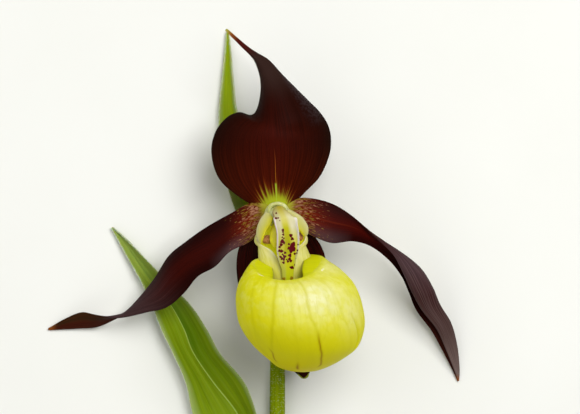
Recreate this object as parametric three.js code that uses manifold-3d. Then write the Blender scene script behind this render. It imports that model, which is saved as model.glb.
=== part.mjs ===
// One flower of a lady's slipper orchid, as picked: a cut stem with its upper leaf, the leafy bract,
// the ovary and the flower, lying on its back on a flat surface with the flower facing up.
// Millimetres. +Z is up and is the way the flower faces, +Y runs up the stem to the dorsal sepal, and
// the origin is on the surface, under the node where the bract clasps the stem.
import * as THREE from "three";
import { mergeVertices } from "three/addons/utils/BufferGeometryUtils.js";
import Module from "manifold-3d";

const wasm = await Module();
wasm.setup();

// ---- Driving dimensions ----
const PETAL_THICKNESS = 0.8;
const LEAF_THICKNESS = 0.7;
const STAMINODE_THICKNESS = 0.9;
const ARM_THICKNESS = 0.9;
const LIP_THICKNESS = 0.9;
const STEM_RADIUS = 1.7;
const EDGE_THINNING = 0.25; // the share of its thickness that a blade loses at its edges
const TIP_THINNING = 0.25; // and at its tip
const TIP_START = 0.85; // the share of a blade's length where its tip starts
const REST_HEIGHT = 0.3; // height of the middle of a blade where it lies flat on the surface
const LEAF_PLEATS = 5; // raised parallel veins across the leaf
const LEAF_PLEAT_DEPTH = 0.18;
const LEAF_CREASE = 0.5; // 0 is a round fold at the rib, and 1 a sharp one
const PETAL_CREASE = 0.85; // the same, where the right petal folds over
const PETAL_FOLD = [0.6, 0.78]; // the shares of its length where the right petal's fold sharpens
const POUCH_FURROWS = 11; // shallow furrows down the pouch, from its mouth to its foot
const POUCH_FURROW_DEPTH = 0.18;
const DEGREE = Math.PI / 180;

// ---- Colours ----
const GREEN_STEM = 0x7f9a24;
const GREEN_LEAF = 0x6f9422;
const GREEN_BRACT = 0x8dab3a;
const MAROON = 0x35100e;
const MAROON_BROWN = 0x4b1a16;
const YELLOW_LIP = 0xdfd52a;
const CREAM_COLUMN = 0xdde28a;
const YELLOW_STAMINODE = 0xd9de6e;
const POLLEN_BROWN = 0xa9843a;

// ---- Curves and surfaces ----

// A smooth line through points, from 0 at the first to 1 at the last.
function lineThrough(points) {
  const line = new THREE.CatmullRomCurve3(points.map((p) => new THREE.Vector3(...p)), false, "catmullrom", 0.5);
  return (along) => line.getPoint(along);
}

// A number that runs smoothly through values, in the same way.
function valueThrough(values) {
  const line = lineThrough(values.map((value) => [value, 0, 0]));
  return (along) => line(along).x;
}

// The point at across, from -1 at the left edge over 0 at the rib to 1 at the right edge, on the round
// arc through those three. A crease of 1 would make it two straight halves that meet at the rib.
function acrossArc(left, rib, right, across, crease) {
  const edge = across < 0 ? left : right;
  const share = Math.abs(across);
  const straight = rib.clone().lerp(edge, share);
  const a = left.clone().sub(rib);
  const c = right.clone().sub(rib);
  const normal = a.clone().cross(c);
  if (normal.length() < 1e-3 * a.length() * c.length()) return straight;
  const centre = c.clone().multiplyScalar(a.lengthSq()).addScaledVector(a, -c.lengthSq())
    .cross(normal).divideScalar(2 * normal.lengthSq()).add(rib);
  const ribSpoke = rib.clone().sub(centre);
  const edgeSpoke = edge.clone().sub(centre);
  const angle = ribSpoke.angleTo(edgeSpoke);
  const arc = centre.clone()
    .addScaledVector(ribSpoke, Math.sin((1 - share) * angle) / Math.sin(angle))
    .addScaledVector(edgeSpoke, Math.sin(share * angle) / Math.sin(angle));
  return arc.lerp(straight, crease);
}

// A petal, sepal or leaf as a surface. Each row of its shape is a left edge point, a rib point and a
// right edge point, from the base to the tip. It lies flat where it would go below the surface.
function bladeSurface(rows, crease = () => 0) {
  const [left, rib, right] = [0, 1, 2].map((column) => lineThrough(rows.map((row) => row[column])));
  return (across, along) => {
    const point = acrossArc(left(along), rib(along), right(along), across, crease(along));
    point.z = Math.max(point.z, REST_HEIGHT);
    return point;
  };
}

// The unit normal of a surface, by small steps to each side.
function normalOf(surface, across, along) {
  const step = 1e-3;
  const clamp = (value) => Math.min(1, Math.max(0, value));
  const overAcross = surface(across + step, along).sub(surface(across - step, along));
  const overAlong = surface(across, clamp(along + step)).sub(surface(across, clamp(along - step)));
  return overAcross.cross(overAlong).normalize();
}

// ---- Solids ----

// A closed mesh from points and triangles, turned so that its faces point out.
function closedMesh(points, triangles) {
  let volume = 0;
  for (const [a, b, c] of triangles) {
    volume += points[a].dot(points[b].clone().cross(points[c]));
  }
  const faces = volume < 0 ? triangles.map(([a, b, c]) => [a, c, b]) : triangles;
  const geometry = new THREE.BufferGeometry();
  geometry.setAttribute("position", new THREE.Float32BufferAttribute(points.flatMap((p) => p.toArray()), 3));
  geometry.setIndex(faces.flat());
  return geometry;
}

// Two triangles for a four-sided face, always split on the same diagonal.
const quad = (a, b, c, d) => [[a, b, c], [a, c, d]];

// A thin solid on both sides of a blade's surface. Thickness and relief are functions of across and
// along.
function bladeSolid(surface, acrossSteps, alongSteps, thickness, relief = () => 0) {
  const points = [];
  for (const side of [1, -1]) {
    for (let j = 0; j <= alongSteps; j++) {
      for (let i = 0; i <= acrossSteps; i++) {
        const across = (2 * i) / acrossSteps - 1;
        const along = j / alongSteps;
        const offset = (side * thickness(across, along)) / 2 + relief(across, along);
        const point = surface(across, along).addScaledVector(normalOf(surface, across, along), offset);
        point.z = Math.max(point.z, 0);
        points.push(point);
      }
    }
  }
  const row = acrossSteps + 1;
  const under = row * (alongSteps + 1);
  const triangles = [];
  for (let j = 0; j < alongSteps; j++) {
    for (let i = 0; i < acrossSteps; i++) {
      const a = j * row + i;
      const [b, c, d] = [a + 1, a + row + 1, a + row];
      triangles.push(...quad(a, b, c, d));
      triangles.push(...quad(a + under, b + under, c + under, d + under).map(([p, q, r]) => [p, r, q]));
    }
  }
  const wall = (a, b) => triangles.push(...quad(a, a + under, b + under, b));
  for (let i = 0; i < acrossSteps; i++) {
    wall(i, i + 1);
    wall(alongSteps * row + i + 1, alongSteps * row + i);
  }
  for (let j = 0; j < alongSteps; j++) {
    wall((j + 1) * row, j * row);
    wall(j * row + acrossSteps, (j + 1) * row + acrossSteps);
  }
  return closedMesh(points, triangles);
}

// Closed rings of points joined in order, with each end closed to its middle.
function ringSolid(rings) {
  const count = rings[0].length;
  const points = rings.flat();
  const triangles = [];
  for (let j = 0; j + 1 < rings.length; j++) {
    for (let i = 0; i < count; i++) {
      const next = (i + 1) % count;
      triangles.push(...quad(j * count + i, j * count + next, (j + 1) * count + next, (j + 1) * count + i));
    }
  }
  for (const [ring, start] of [[rings[0], 0], [rings.at(-1), (rings.length - 1) * count]]) {
    const middle = ring.reduce((sum, p) => sum.add(p), new THREE.Vector3()).divideScalar(count);
    points.push(middle);
    for (let i = 0; i < count; i++) {
      const edge = [start + i, start + ((i + 1) % count)];
      triangles.push([...(start ? edge : edge.reverse()), points.length - 1]);
    }
  }
  return closedMesh(points, triangles);
}

// A round limb along a line, with radii that run smoothly from its start to its end. It lies flat where
// it would go below the surface.
function limbSolid(path, radii, sides, steps) {
  const line = new THREE.CatmullRomCurve3(path.map((p) => new THREE.Vector3(...p)), false, "catmullrom", 0.5);
  const radius = valueThrough(radii);
  const frames = line.computeFrenetFrames(steps);
  const rings = [];
  for (let j = 0; j <= steps; j++) {
    const centre = line.getPointAt(j / steps);
    const ring = [];
    for (let i = 0; i < sides; i++) {
      const turn = (2 * Math.PI * i) / sides;
      const point = centre.clone()
        .addScaledVector(frames.normals[j], radius(j / steps) * Math.cos(turn))
        .addScaledVector(frames.binormals[j], radius(j / steps) * Math.sin(turn));
      point.z = Math.max(point.z, 0);
      ring.push(point);
    }
    rings.push(ring);
  }
  return ringSolid(rings);
}

// Several overlapping solids joined into one.
function joined(...geometries) {
  const solid = geometries.map((geometry) => {
    const bare = mergeVertices(geometry.clone().deleteAttribute("normal").deleteAttribute("uv"), 1e-4);
    return new wasm.Manifold(new wasm.Mesh({
      numProp: 3,
      vertProperties: new Float32Array(bare.attributes.position.array),
      triVerts: new Uint32Array(bare.index.array),
    }));
  }).reduce((all, next) => all.add(next));
  const mesh = solid.getMesh();
  const geometry = new THREE.BufferGeometry();
  geometry.setAttribute("position", new THREE.BufferAttribute(mesh.vertProperties, 3));
  geometry.setIndex(new THREE.BufferAttribute(mesh.triVerts, 1));
  return geometry;
}

// ---- The flower's parts ----
const flower = new THREE.Group();

function addPart(name, geometry, colour, roughness) {
  geometry.computeVertexNormals();
  const material = new THREE.MeshStandardMaterial({ color: colour, roughness, metalness: 0 });
  const mesh = new THREE.Mesh(geometry, material);
  mesh.name = name;
  flower.add(mesh);
}

// A blade is thickest at its rib and thins to its edges and its tip.
const bladeThickness = (full) => (across, along) => full * (1 - EDGE_THINNING * across * across)
  * (1 - TIP_THINNING * Math.max(0, (along - TIP_START) / (1 - TIP_START)));

// The stem: a round stalk from the cut end to the node, resting on its cut end.
const STEM_LINE = [[1.6, -88, 1.7], [0.9, -76, 1.9], [0.3, -64, 2.3], [0, -52, 2.75], [-0.1, -38, 2.8],
  [-0.1, -24, 2.8], [0, -10, 2.85], [0, 0.9, 2.9]];
addPart("stem", limbSolid(STEM_LINE, [1.95, 1.85, 1.8, STEM_RADIUS, STEM_RADIUS, 1.65, 1.6, 1.75], 12, 20),
  GREEN_STEM, 0.6);

// The ovary: a spindle that rises from the node and bends forward to carry the flower.
const OVARY_LINE = [[0, 1.7, 3.05], [0, 5, 3.9], [0.05, 9.5, 5.7], [0.1, 13.8, 8.4], [0.05, 16.7, 11.2],
  [0, 17.6, 13.9]];
addPart("ovary", limbSolid(OVARY_LINE, [1.7, 2.15, 2.35, 2.3, 2.1, 2.2], 12, 12), GREEN_STEM, 0.6);

// The bract: a pointed leaf that clasps the node from behind, and lies flat on its keel.
const BRACT_ROWS = [
  [[-2.9, -6, 3.6], [0, -6, -0.5], [2.9, -6, 3.6]],
  [[-4.3, 1.5, 4.6], [-0.1, 1.5, -0.6], [4.2, 1.5, 4.6]],
  [[-6.0, 9, 4.5], [-1.4, 9, -0.6], [3.9, 9, 4.5]],
  [[-8.3, 16.5, 4.1], [-3.1, 16.5, -0.6], [2.4, 16.5, 4.2]],
  [[-10.6, 23.6, 3.6], [-5.2, 23.6, -0.5], [0.6, 23.6, 3.7]],
  [[-12.4, 31.5, 2.8], [-8.1, 31.5, -0.3], [-3.6, 31.5, 3]],
  [[-12.5, 39, 2], [-10.3, 39, 0], [-8.4, 39, 2.1]],
  [[-12, 45.4, 1.4], [-10.7, 45.4, 0.2], [-9.4, 45.4, 1.5]],
  [[-11.4, 51.2, 1.1], [-10.7, 51.2, 0.4], [-9.9, 51.2, 1.1]],
  [[-10.95, 56.8, 0.9], [-10.7, 57, 0.7], [-10.4, 56.8, 0.9]],
];
addPart("bract", bladeSolid(bladeSurface(BRACT_ROWS), 10, 20, bladeThickness(LEAF_THICKNESS)), GREEN_BRACT, 0.6);

// The leaf: its base is a sheath round the stem, and its blade spreads to the left, folded at the rib.
const LEAF_ROWS = [
  [[1.9, -53, 1.35], [-2.55, -53, 2.75], [1.9, -53, 4.2]],
  [[1.7, -47, 1.1], [-2.65, -47, 2.7], [1.7, -47, 4.6]],
  [[0.3, -42.5, 0.4], [-3.2, -40.2, 1.7], [-0.4, -39.6, 5.4]],
  [[-6.5, -39, 0.4], [-4.7, -34, 0.8], [-2.6, -33.4, 6.2]],
  [[-13.2, -33.5, 1.2], [-6.7, -28.6, 0.35], [-4, -27.8, 6.8]],
  [[-17.6, -26, 3], [-9.1, -23.7, 0.3], [-4.8, -23.3, 7.2]],
  [[-19.5, -18, 4.2], [-14, -17.6, 0.3], [-7.2, -17.5, 6.4]],
  [[-22.3, -11.5, 4.3], [-18.1, -11.5, 0.3], [-12.1, -11.8, 5.4]],
  [[-24.7, -6.6, 4], [-20.1, -6.4, 0.3], [-14.9, -6.8, 4.6]],
  [[-26.7, -1.5, 3.4], [-23, -1.2, 0.3], [-18.4, -1.5, 4]],
  [[-29, 3.4, 2.6], [-26.6, 3, 0.3], [-23.3, 3.4, 3.3]],
  [[-31.6, 8, 1.8], [-30, 7.7, 0.3], [-27.8, 8.1, 2.5]],
  [[-33.8, 12, 1.2], [-33, 12.2, 0.3], [-31.7, 12, 1.6]],
  [[-35.5, 15, 0.8], [-35.3, 15.2, 0.5], [-35, 15, 0.8]],
];
const SHEATH_END = [0.12, 0.35]; // the shares of its length where the sheath opens out into the blade
const leafCrease = (along) => LEAF_CREASE * THREE.MathUtils.smoothstep(along, ...SHEATH_END);
const leafPleats = (across, along) => LEAF_PLEAT_DEPTH * Math.cos(Math.PI * LEAF_PLEATS * across)
  * (1 - across ** 4) * THREE.MathUtils.smoothstep(along, ...SHEATH_END) * (1 - along);
addPart("leaf", bladeSolid(bladeSurface(LEAF_ROWS, leafCrease), 20, 24, bladeThickness(LEAF_THICKNESS), leafPleats),
  GREEN_LEAF, 0.6);

// The dorsal sepal: a broad upright blade, bulged towards the front, whose left edge is notched where
// it rolls back, with a long tip bent over to the left.
const DORSAL_ROWS = [
  [[-2.6, 18.6, 15.5], [0, 18.3, 15.5], [2.4, 18.6, 15.5]],
  [[-7.6, 21.3, 15.2], [-0.2, 21.3, 15.9], [5.2, 22, 15.2]],
  [[-12.2, 25.3, 15.5], [-0.4, 25.5, 17.8], [8.9, 25.9, 15.5]],
  [[-13.9, 30.6, 15.5], [-0.5, 29.8, 19.2], [10.9, 30.4, 15.5]],
  [[-13.2, 35, 15.6], [-0.8, 32.6, 19.8], [11.3, 33.7, 15.2]],
  [[-10.9, 38.2, 15.5], [-1, 34.2, 20], [10.9, 36.1, 14.8]],
  [[-8.2, 39.5, 15.4], [-1.1, 35.6, 19.9], [10.1, 37.9, 14.6]],
  [[-5.7, 38.9, 15.4], [-1.2, 37.3, 19.6], [8.6, 39.9, 14.6]],
  [[-4.4, 40, 15.5], [-1.2, 39.8, 19.1], [6.2, 42.2, 14.9]],
  [[-3.6, 43.2, 15.9], [-1.3, 43.4, 18.5], [3.5, 44.8, 15.3]],
  [[-3.6, 46.4, 16.3], [-1.7, 46.9, 17.9], [0.8, 47.4, 15.8]],
  [[-4.4, 49.4, 16.7], [-3, 49.9, 17.6], [-1.8, 50.2, 16.6]],
  [[-5.3, 51, 17], [-4.7, 51.4, 17.4], [-4.1, 51.7, 17.1]],
  [[-7.3, 53.1, 17.5], [-7, 53.3, 17.7], [-6.8, 53.5, 17.5]],
  [[-10.9, 56.6, 18.4], [-10.8, 56.8, 18.5], [-10.6, 56.9, 18.4]],
];
addPart("dorsal_sepal", bladeSolid(bladeSurface(DORSAL_ROWS), 12, 28, bladeThickness(PETAL_THICKNESS)),
  MAROON, 0.45);

// The synsepal: the two lower sepals grown together, behind the pouch.
const SYNSEPAL_ROWS = [
  [[-2.4, 17.3, 15.5], [0, 17.5, 15.5], [2.4, 17.3, 15.5]],
  [[-6.5, 14, 15], [0.1, 14, 14.9], [6.9, 14.4, 15]],
  [[-8.5, 9.5, 12.2], [0.5, 9, 11.4], [9.9, 9.6, 12.2]],
  [[-8.4, 3.5, 10.2], [1.2, 3, 8.8], [10.3, 3.5, 10.2]],
  [[-6.5, -3, 9.2], [2.4, -3.5, 7.4], [9.8, -2.5, 9.2]],
  [[-2.8, -9, 9], [3.8, -9.5, 7.3], [8.7, -8.5, 9]],
  [[1.3, -13.2, 9.4], [4.9, -13.5, 8.2], [7.6, -12.8, 9.2]],
  [[4.8, -16.2, 10], [5.5, -16.8, 9.6], [6.5, -16.1, 9.9]],
];
addPart("synsepal", bladeSolid(bladeSurface(SYNSEPAL_ROWS), 8, 16, bladeThickness(PETAL_THICKNESS)),
  MAROON, 0.45);

// The left petal: a ribbon that drops outwards and makes half a turn before its tip.
const LEFT_PETAL_ROWS = [
  [[-2.2, 20.2, 16.6], [-1.5, 18, 16.6], [-2.2, 15.8, 16.6]],
  [[-5.8, 20.3, 17.4], [-5.4, 16.4, 17.1], [-5.6, 12.4, 17]],
  [[-10, 18.1, 16.4], [-9.5, 14, 16.8], [-10, 10.1, 16.4]],
  [[-15.1, 15.2, 14.8], [-14.1, 10.6, 15.8], [-13.1, 7, 15]],
  [[-19.2, 12.4, 12.6], [-18.3, 8.3, 14.2], [-16.8, 4.9, 13.4]],
  [[-23, 9.3, 10.1], [-22, 5.2, 12.1], [-19.8, 1.3, 11.7]],
  [[-26, 4.5, 7.8], [-25.2, 1.5, 10], [-23.4, -1.7, 10.4]],
  [[-29.3, 0.3, 5.8], [-28.9, -0.9, 7.6], [-27.7, -2.8, 9]],
  [[-32.3, -2.8, 4.5], [-32.2, -3, 5.7], [-31.9, -3.8, 7]],
  [[-35.3, -4.75, 2.8], [-35.3, -3.85, 4.1], [-35.3, -4.1, 5.5]],
  [[-38.6, -6.1, 1.5], [-38.8, -4.5, 3], [-38.8, -3.4, 4]],
  [[-41.9, -6.4, 0.9], [-42, -4.6, 2], [-41.8, -2.9, 2.6]],
  [[-45.5, -6.6, 0.5], [-45.6, -5.4, 1], [-45.4, -4.3, 1.3]],
  [[-48.9, -6.8, 0.3], [-49, -6.5, 0.35], [-48.9, -6.3, 0.35]],
];
addPart("petal_left", bladeSolid(bladeSurface(LEFT_PETAL_ROWS), 8, 28, bladeThickness(PETAL_THICKNESS)),
  MAROON_BROWN, 0.45);

// The right petal: a ribbon that arches outwards, folds over along its rib and hangs to its tip.
const RIGHT_PETAL_ROWS = [
  [[2.2, 15.8, 16.6], [1.5, 18, 16.6], [2.2, 20.2, 16.6]],
  [[6.3, 13.9, 16.6], [5.7, 17.9, 16.9], [5.3, 21.5, 16.8]],
  [[11.2, 12, 16], [11.2, 16.4, 16.6], [10.9, 20.5, 16.2]],
  [[15.7, 12.3, 14.6], [16.1, 15.2, 15.2], [15.8, 17.6, 15.6]],
  [[19.7, 11.2, 12.4], [20.3, 12.9, 12.8], [20, 13.7, 14.9]],
  [[23.6, 8.2, 10], [25.4, 10.2, 11.6], [24.2, 9.6, 13.7]],
  [[26.2, 4.8, 8.2], [30, 6.6, 9.8], [26.6, 5.4, 11.9]],
  [[27.9, 1.2, 6.8], [32.6, 2.6, 8], [28.3, 1.6, 10.2]],
  [[29.6, -2.6, 5], [34.4, -1.4, 6], [30.4, -2.2, 8]],
  [[32.7, -6.8, 3.4], [36.8, -5.4, 4], [33.7, -6.4, 5.9]],
  [[34.9, -10.7, 2], [38.1, -10.2, 2.4], [35.7, -10.6, 3.8]],
  [[36.9, -14.5, 0.9], [38.6, -14.5, 1.1], [37.4, -14.6, 2]],
  [[38.4, -17.7, 0.35], [38.7, -17.6, 0.35], [38.5, -17.4, 0.5]],
];
const petalCrease = (along) => PETAL_CREASE * THREE.MathUtils.smoothstep(along, ...PETAL_FOLD);
const rightPetal = bladeSurface(RIGHT_PETAL_ROWS, petalCrease);
addPart("petal_right", bladeSolid(rightPetal, 8, 30, bladeThickness(PETAL_THICKNESS)),
  MAROON_BROWN, 0.45);

// The lip: an inflated pouch with a round mouth. Each row is a ring round it, from its foot to the
// mouth: height at the back, how far the front hangs below that, middle and half width, middle and
// half depth.
const POUCH_ROWS = [
  [-14.9, 0, 5.3, 0.4, 24, 0.4],
  [-14.65, 0, 5.3, 2.7, 24.2, 2.9],
  [-13.8, 0, 5.3, 5.2, 24.6, 5.8],
  [-12.2, 0.1, 5.8, 7.65, 25.2, 8.2],
  [-9.9, 0.3, 6, 10.4, 25.9, 10.8],
  [-7.3, 0.4, 5.6, 12.1, 26.5, 12.7],
  [-4.4, 0.7, 5.1, 13.1, 26.9, 13.8],
  [-1.4, 1.1, 4.65, 13.2, 27, 14.1],
  [1.6, 1.6, 4.2, 12.85, 27, 13.9],
  [4.4, 2.4, 3.8, 11.9, 26.7, 12.9],
  [7, 3.6, 3.2, 10.1, 26.4, 11.6],
  [8.6, 4.5, 2.5, 8.5, 25.9, 10.2],
  [9.35, 4.9, 2.2, 7.6, 25.4, 9],
  [9.15, 5.3, 2.15, 6.7, 25.2, 8.1],
];
const MOUTH_TILT = 0.6; // the mouth's right side stands above its middle by this, and its left side below
const pouchValues = [0, 1, 2, 3, 4, 5].map((column) => valueThrough(POUCH_ROWS.map((row) => row[column])));

// Around runs from 0 at the front, through 0.25 at the right, to 1. Along runs from the foot to the mouth.
function pouchSurface(around, along) {
  const [height, hang, middleX, halfX, middleZ, halfZ] = pouchValues.map((value) => value(along));
  const turn = 2 * Math.PI * around;
  const furrow = POUCH_FURROW_DEPTH * Math.cos(POUCH_FURROWS * turn) * Math.sin(Math.PI * along);
  return new THREE.Vector3(
    middleX + (halfX + furrow) * Math.sin(turn),
    height - hang * ((1 + Math.cos(turn)) / 2) ** 2 + MOUTH_TILT * along ** 4 * Math.sin(turn),
    middleZ + (halfZ + furrow) * Math.cos(turn),
  );
}

function pouchSolid(aroundSteps, alongSteps) {
  const ringAt = (along, depth) => Array.from({ length: aroundSteps }, (_, i) => {
    const around = i / aroundSteps;
    return pouchSurface(around, along).addScaledVector(normalOf(pouchSurface, around, along), depth);
  });
  const outward = Math.sign(normalOf(pouchSurface, 0, 0.5).z);
  const steps = Array.from({ length: alongSteps + 1 }, (_, j) => j / alongSteps);
  const outside = steps.map((along) => ringAt(along, 0));
  const inside = steps.map((along) => ringAt(along, -outward * LIP_THICKNESS)).reverse();
  return ringSolid([...outside, ...inside]);
}

// The claw of the lip: a channel from inside the mouth up to the column, with its edges rolled in.
// Each row is a ring: height at the back, how far the front hangs below that, middle and half width,
// middle and half depth, and how far it reaches round from the back, in degrees.
const CLAW_ROWS = [
  [5.2, 1.5, 2, 3.4, 21.2, 3.05, 172],
  [7.5, 1.8, 1.8, 4.6, 21, 3.1, 171],
  [9.4, 1.8, 1.6, 5.2, 20.75, 2.95, 170],
  [10.9, 1.8, 1.25, 5, 20.45, 2.62, 164],
  [12.4, 1.9, 0.9, 4.75, 20.2, 2.25, 150],
  [13.3, 2, 0.75, 5.3, 20, 1.95, 128],
  [14.4, 2.1, 0.75, 5.15, 19.9, 1.8, 105],
  [15.2, 1.8, 0.6, 4.2, 20, 1.5, 85],
];
const clawValues = [0, 1, 2, 3, 4, 5, 6].map((column) => valueThrough(CLAW_ROWS.map((row) => row[column])));

function clawSurface(across, along) {
  const [height, hang, middleX, halfX, middleZ, halfZ, reach] = clawValues.map((value) => value(along));
  const turn = reach * DEGREE * across;
  return new THREE.Vector3(
    middleX + halfX * Math.sin(turn),
    height - (hang * (1 - Math.cos(turn))) / 2,
    middleZ - halfZ * Math.cos(turn),
  );
}

addPart("lip", joined(pouchSolid(33, 13), bladeSolid(clawSurface, 14, 10, () => LIP_THICKNESS)), YELLOW_LIP, 0.4);

// The column: a short knob, with the stigma's plate under its front and a broad arm curving down at each
// side.
const COLUMN_TRUNK = [[-0.1, 18.2, 17.5], [-0.1, 18.2, 19.5], [0, 17.9, 21.5], [0.3, 18.1, 22.9]];
const STIGMA_ROWS = [
  [[-0.6, 17.2, 21.9], [0.7, 17.3, 22.4], [2, 17.2, 21.9]],
  [[-1.2, 15.4, 22.1], [0.9, 15.4, 22.9], [3, 15.4, 22.1]],
  [[-1.6, 13.6, 22.3], [1.1, 13.5, 23.1], [3.6, 13.6, 22.4]],
  [[-1.5, 12.2, 22.4], [1.2, 11.9, 23.1], [3.5, 12.2, 22.5]],
  [[-0.6, 11, 22.7], [1.2, 10.7, 23], [2.8, 11, 22.7]],
];
const LEFT_ARM_ROWS = [
  [[-1.4, 19.3, 21.6], [-0.8, 18.7, 22.2], [-0.2, 17.8, 22.4]],
  [[-2.9, 17.8, 21.8], [-1.9, 17.4, 22.8], [-0.9, 16.9, 23.1]],
  [[-3.8, 16.3, 21.7], [-2.6, 16.1, 22.9], [-1.3, 15.9, 23.2]],
  [[-4.25, 14.7, 21.5], [-3.3, 14.6, 22.7], [-2.2, 14.6, 23.1]],
  [[-4.2, 13.2, 21.8], [-3.5, 13.2, 22.7], [-2.8, 13.2, 23]],
  [[-3.6, 12, 22.4], [-3.4, 11.95, 22.6], [-3.2, 12, 22.7]],
];
const RIGHT_ARM_ROWS = [
  [[2, 19.2, 21.6], [1.6, 18.5, 22.2], [1.2, 17.6, 22.4]],
  [[4, 18.1, 21.8], [3.4, 17.2, 22.9], [2.7, 16.4, 23]],
  [[5.3, 17.1, 21.8], [4.5, 16.2, 22.9], [3.8, 15.4, 23.1]],
  [[6.25, 15.5, 21.7], [5.4, 15, 22.7], [4.6, 14.5, 23]],
  [[6.25, 14.2, 21.7], [5.7, 14, 22.5], [5.1, 13.8, 22.7]],
  [[5.95, 13.5, 21.9], [5.8, 13.45, 22], [5.65, 13.45, 22.1]],
];
addPart("column", joined(
  limbSolid(COLUMN_TRUNK, [1.7, 2.1, 2.7, 1.5], 14, 6),
  bladeSolid(bladeSurface(STIGMA_ROWS), 6, 8, () => ARM_THICKNESS),
  bladeSolid(bladeSurface(LEFT_ARM_ROWS), 4, 8, () => ARM_THICKNESS),
  bladeSolid(bladeSurface(RIGHT_ARM_ROWS), 4, 8, () => ARM_THICKNESS),
), CREAM_COLUMN, 0.45);

// The staminode: the spotted shield that hangs from the column over the mouth, with turned-up edges.
const STAMINODE_ROWS = [
  [[-0.6, 19.2, 23.8], [0.3, 19.6, 23.9], [1.4, 19.2, 23.8]],
  [[-1, 18.4, 24.2], [0.6, 18.6, 24.8], [2.3, 18.3, 24.2]],
  [[-0.8, 17.5, 24.8], [1.1, 17.7, 25.1], [3.2, 17.6, 24.7]],
  [[-0.85, 16.8, 25.2], [1.35, 16.8, 25.1], [4.15, 16.9, 25.2]],
  [[-0.8, 15.9, 25.5], [1.6, 15.8, 25.05], [4.45, 16, 25.5]],
  [[-0.45, 14.2, 25.6], [1.9, 14.1, 25], [4.75, 14.4, 25.6]],
  [[-0.4, 12.3, 25.6], [2.1, 12.2, 25], [4.85, 12.4, 25.6]],
  [[-0.4, 10.2, 25.6], [2.1, 10.1, 25], [4.6, 10.3, 25.6]],
  [[0.05, 8.4, 25.5], [2.1, 8.2, 25.1], [4, 8.4, 25.5]],
  [[0.8, 6.6, 25.3], [2.15, 6.4, 25.1], [3.5, 6.6, 25.3]],
  [[1, 4.5, 25.2], [2.15, 4.2, 25.1], [3.3, 4.5, 25.2]],
];
const STAMINODE_FLANGE = 0.7; // how far its margins turn up
const flangeRelief = (across, along) => STAMINODE_FLANGE * across ** 6
  * THREE.MathUtils.smoothstep(along, 0.2, 0.34) * (1 - THREE.MathUtils.smoothstep(along, 0.7, 0.95));
addPart("staminode", bladeSolid(bladeSurface(STAMINODE_ROWS), 8, 18, bladeThickness(STAMINODE_THICKNESS),
  flangeRelief), YELLOW_STAMINODE, 0.45);

// The anthers: one on the inner side of each arm.
for (const [name, x, y, z] of [["anther_left", -2.45, 12.85, 20.9], ["anther_right", 4.3, 13.3, 21.1]]) {
  const anther = new THREE.SphereGeometry(1, 12, 8);
  anther.scale(0.8, 0.95, 0.7);
  anther.translate(x, y, z);
  addPart(name, anther, POLLEN_BROWN, 0.7);
}

export default flower;
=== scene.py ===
import bmesh
import bpy
import numpy as np
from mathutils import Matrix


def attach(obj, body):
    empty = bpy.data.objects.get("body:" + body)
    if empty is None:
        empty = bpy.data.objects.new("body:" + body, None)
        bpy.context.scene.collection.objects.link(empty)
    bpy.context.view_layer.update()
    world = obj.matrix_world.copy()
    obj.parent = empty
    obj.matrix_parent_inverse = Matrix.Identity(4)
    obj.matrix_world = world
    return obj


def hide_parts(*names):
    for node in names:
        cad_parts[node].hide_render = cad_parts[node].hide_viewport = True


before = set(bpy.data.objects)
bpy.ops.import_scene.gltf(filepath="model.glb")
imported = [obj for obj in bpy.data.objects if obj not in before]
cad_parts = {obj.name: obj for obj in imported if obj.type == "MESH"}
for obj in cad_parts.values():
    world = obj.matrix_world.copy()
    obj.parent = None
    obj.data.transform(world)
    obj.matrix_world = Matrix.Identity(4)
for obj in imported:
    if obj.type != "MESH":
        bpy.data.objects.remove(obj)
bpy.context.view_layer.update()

# ---- Stem ----
# The flowering stem: a juicy stalk with faint ribs along it and short soft hairs. It was cut across
# with a knife at its foot, and carries the leaf, the bract and the flower.
MILLIMETRE = 0.001
STEM_LINE = [[1.6, -88, 1.7], [0.9, -76, 1.9], [0.3, -64, 2.3], [0, -52, 2.75], [-0.1, -38, 2.8],
             [-0.1, -24, 2.8], [0, -10, 2.85], [0, 0.9, 2.9]]
STEM_RADII = [1.95, 1.85, 1.8, 1.7, 1.7, 1.65, 1.6, 1.75]
STEM_RIBS = 9
STEM_RIB_SHARE = 0.015  # of the radius
FINE_STEPS = 50  # for each row of a limb's path, to measure its length
draw = np.random.default_rng(11)


def unit(vectors):
    """Each vector at length 1."""
    return vectors / np.maximum(np.linalg.norm(vectors, axis=-1, keepdims=True), 1e-9)


def spline(rows, at):
    """Points on a smooth curve through rows, for each at from 0 at the first row to 1 at the last."""
    rows = np.asarray(rows, float).reshape(len(rows), -1)
    knots = np.vstack([2 * rows[0] - rows[1], rows, 2 * rows[-1] - rows[-2]])
    place = np.asarray(at) * (len(rows) - 1)
    first = np.clip(place.astype(int), 0, len(rows) - 2)
    share = (place - first)[:, None]
    before, start, end, after = [knots[first + step] for step in range(4)]
    leaving = (end - before) / 2
    arriving = (after - start) / 2
    curve = (2 * share**3 - 3 * share**2 + 1) * start + (3 * share**2 - 2 * share**3) * end
    return curve + (share**3 - 2 * share**2 + share) * leaving + (share**3 - share**2) * arriving


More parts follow.
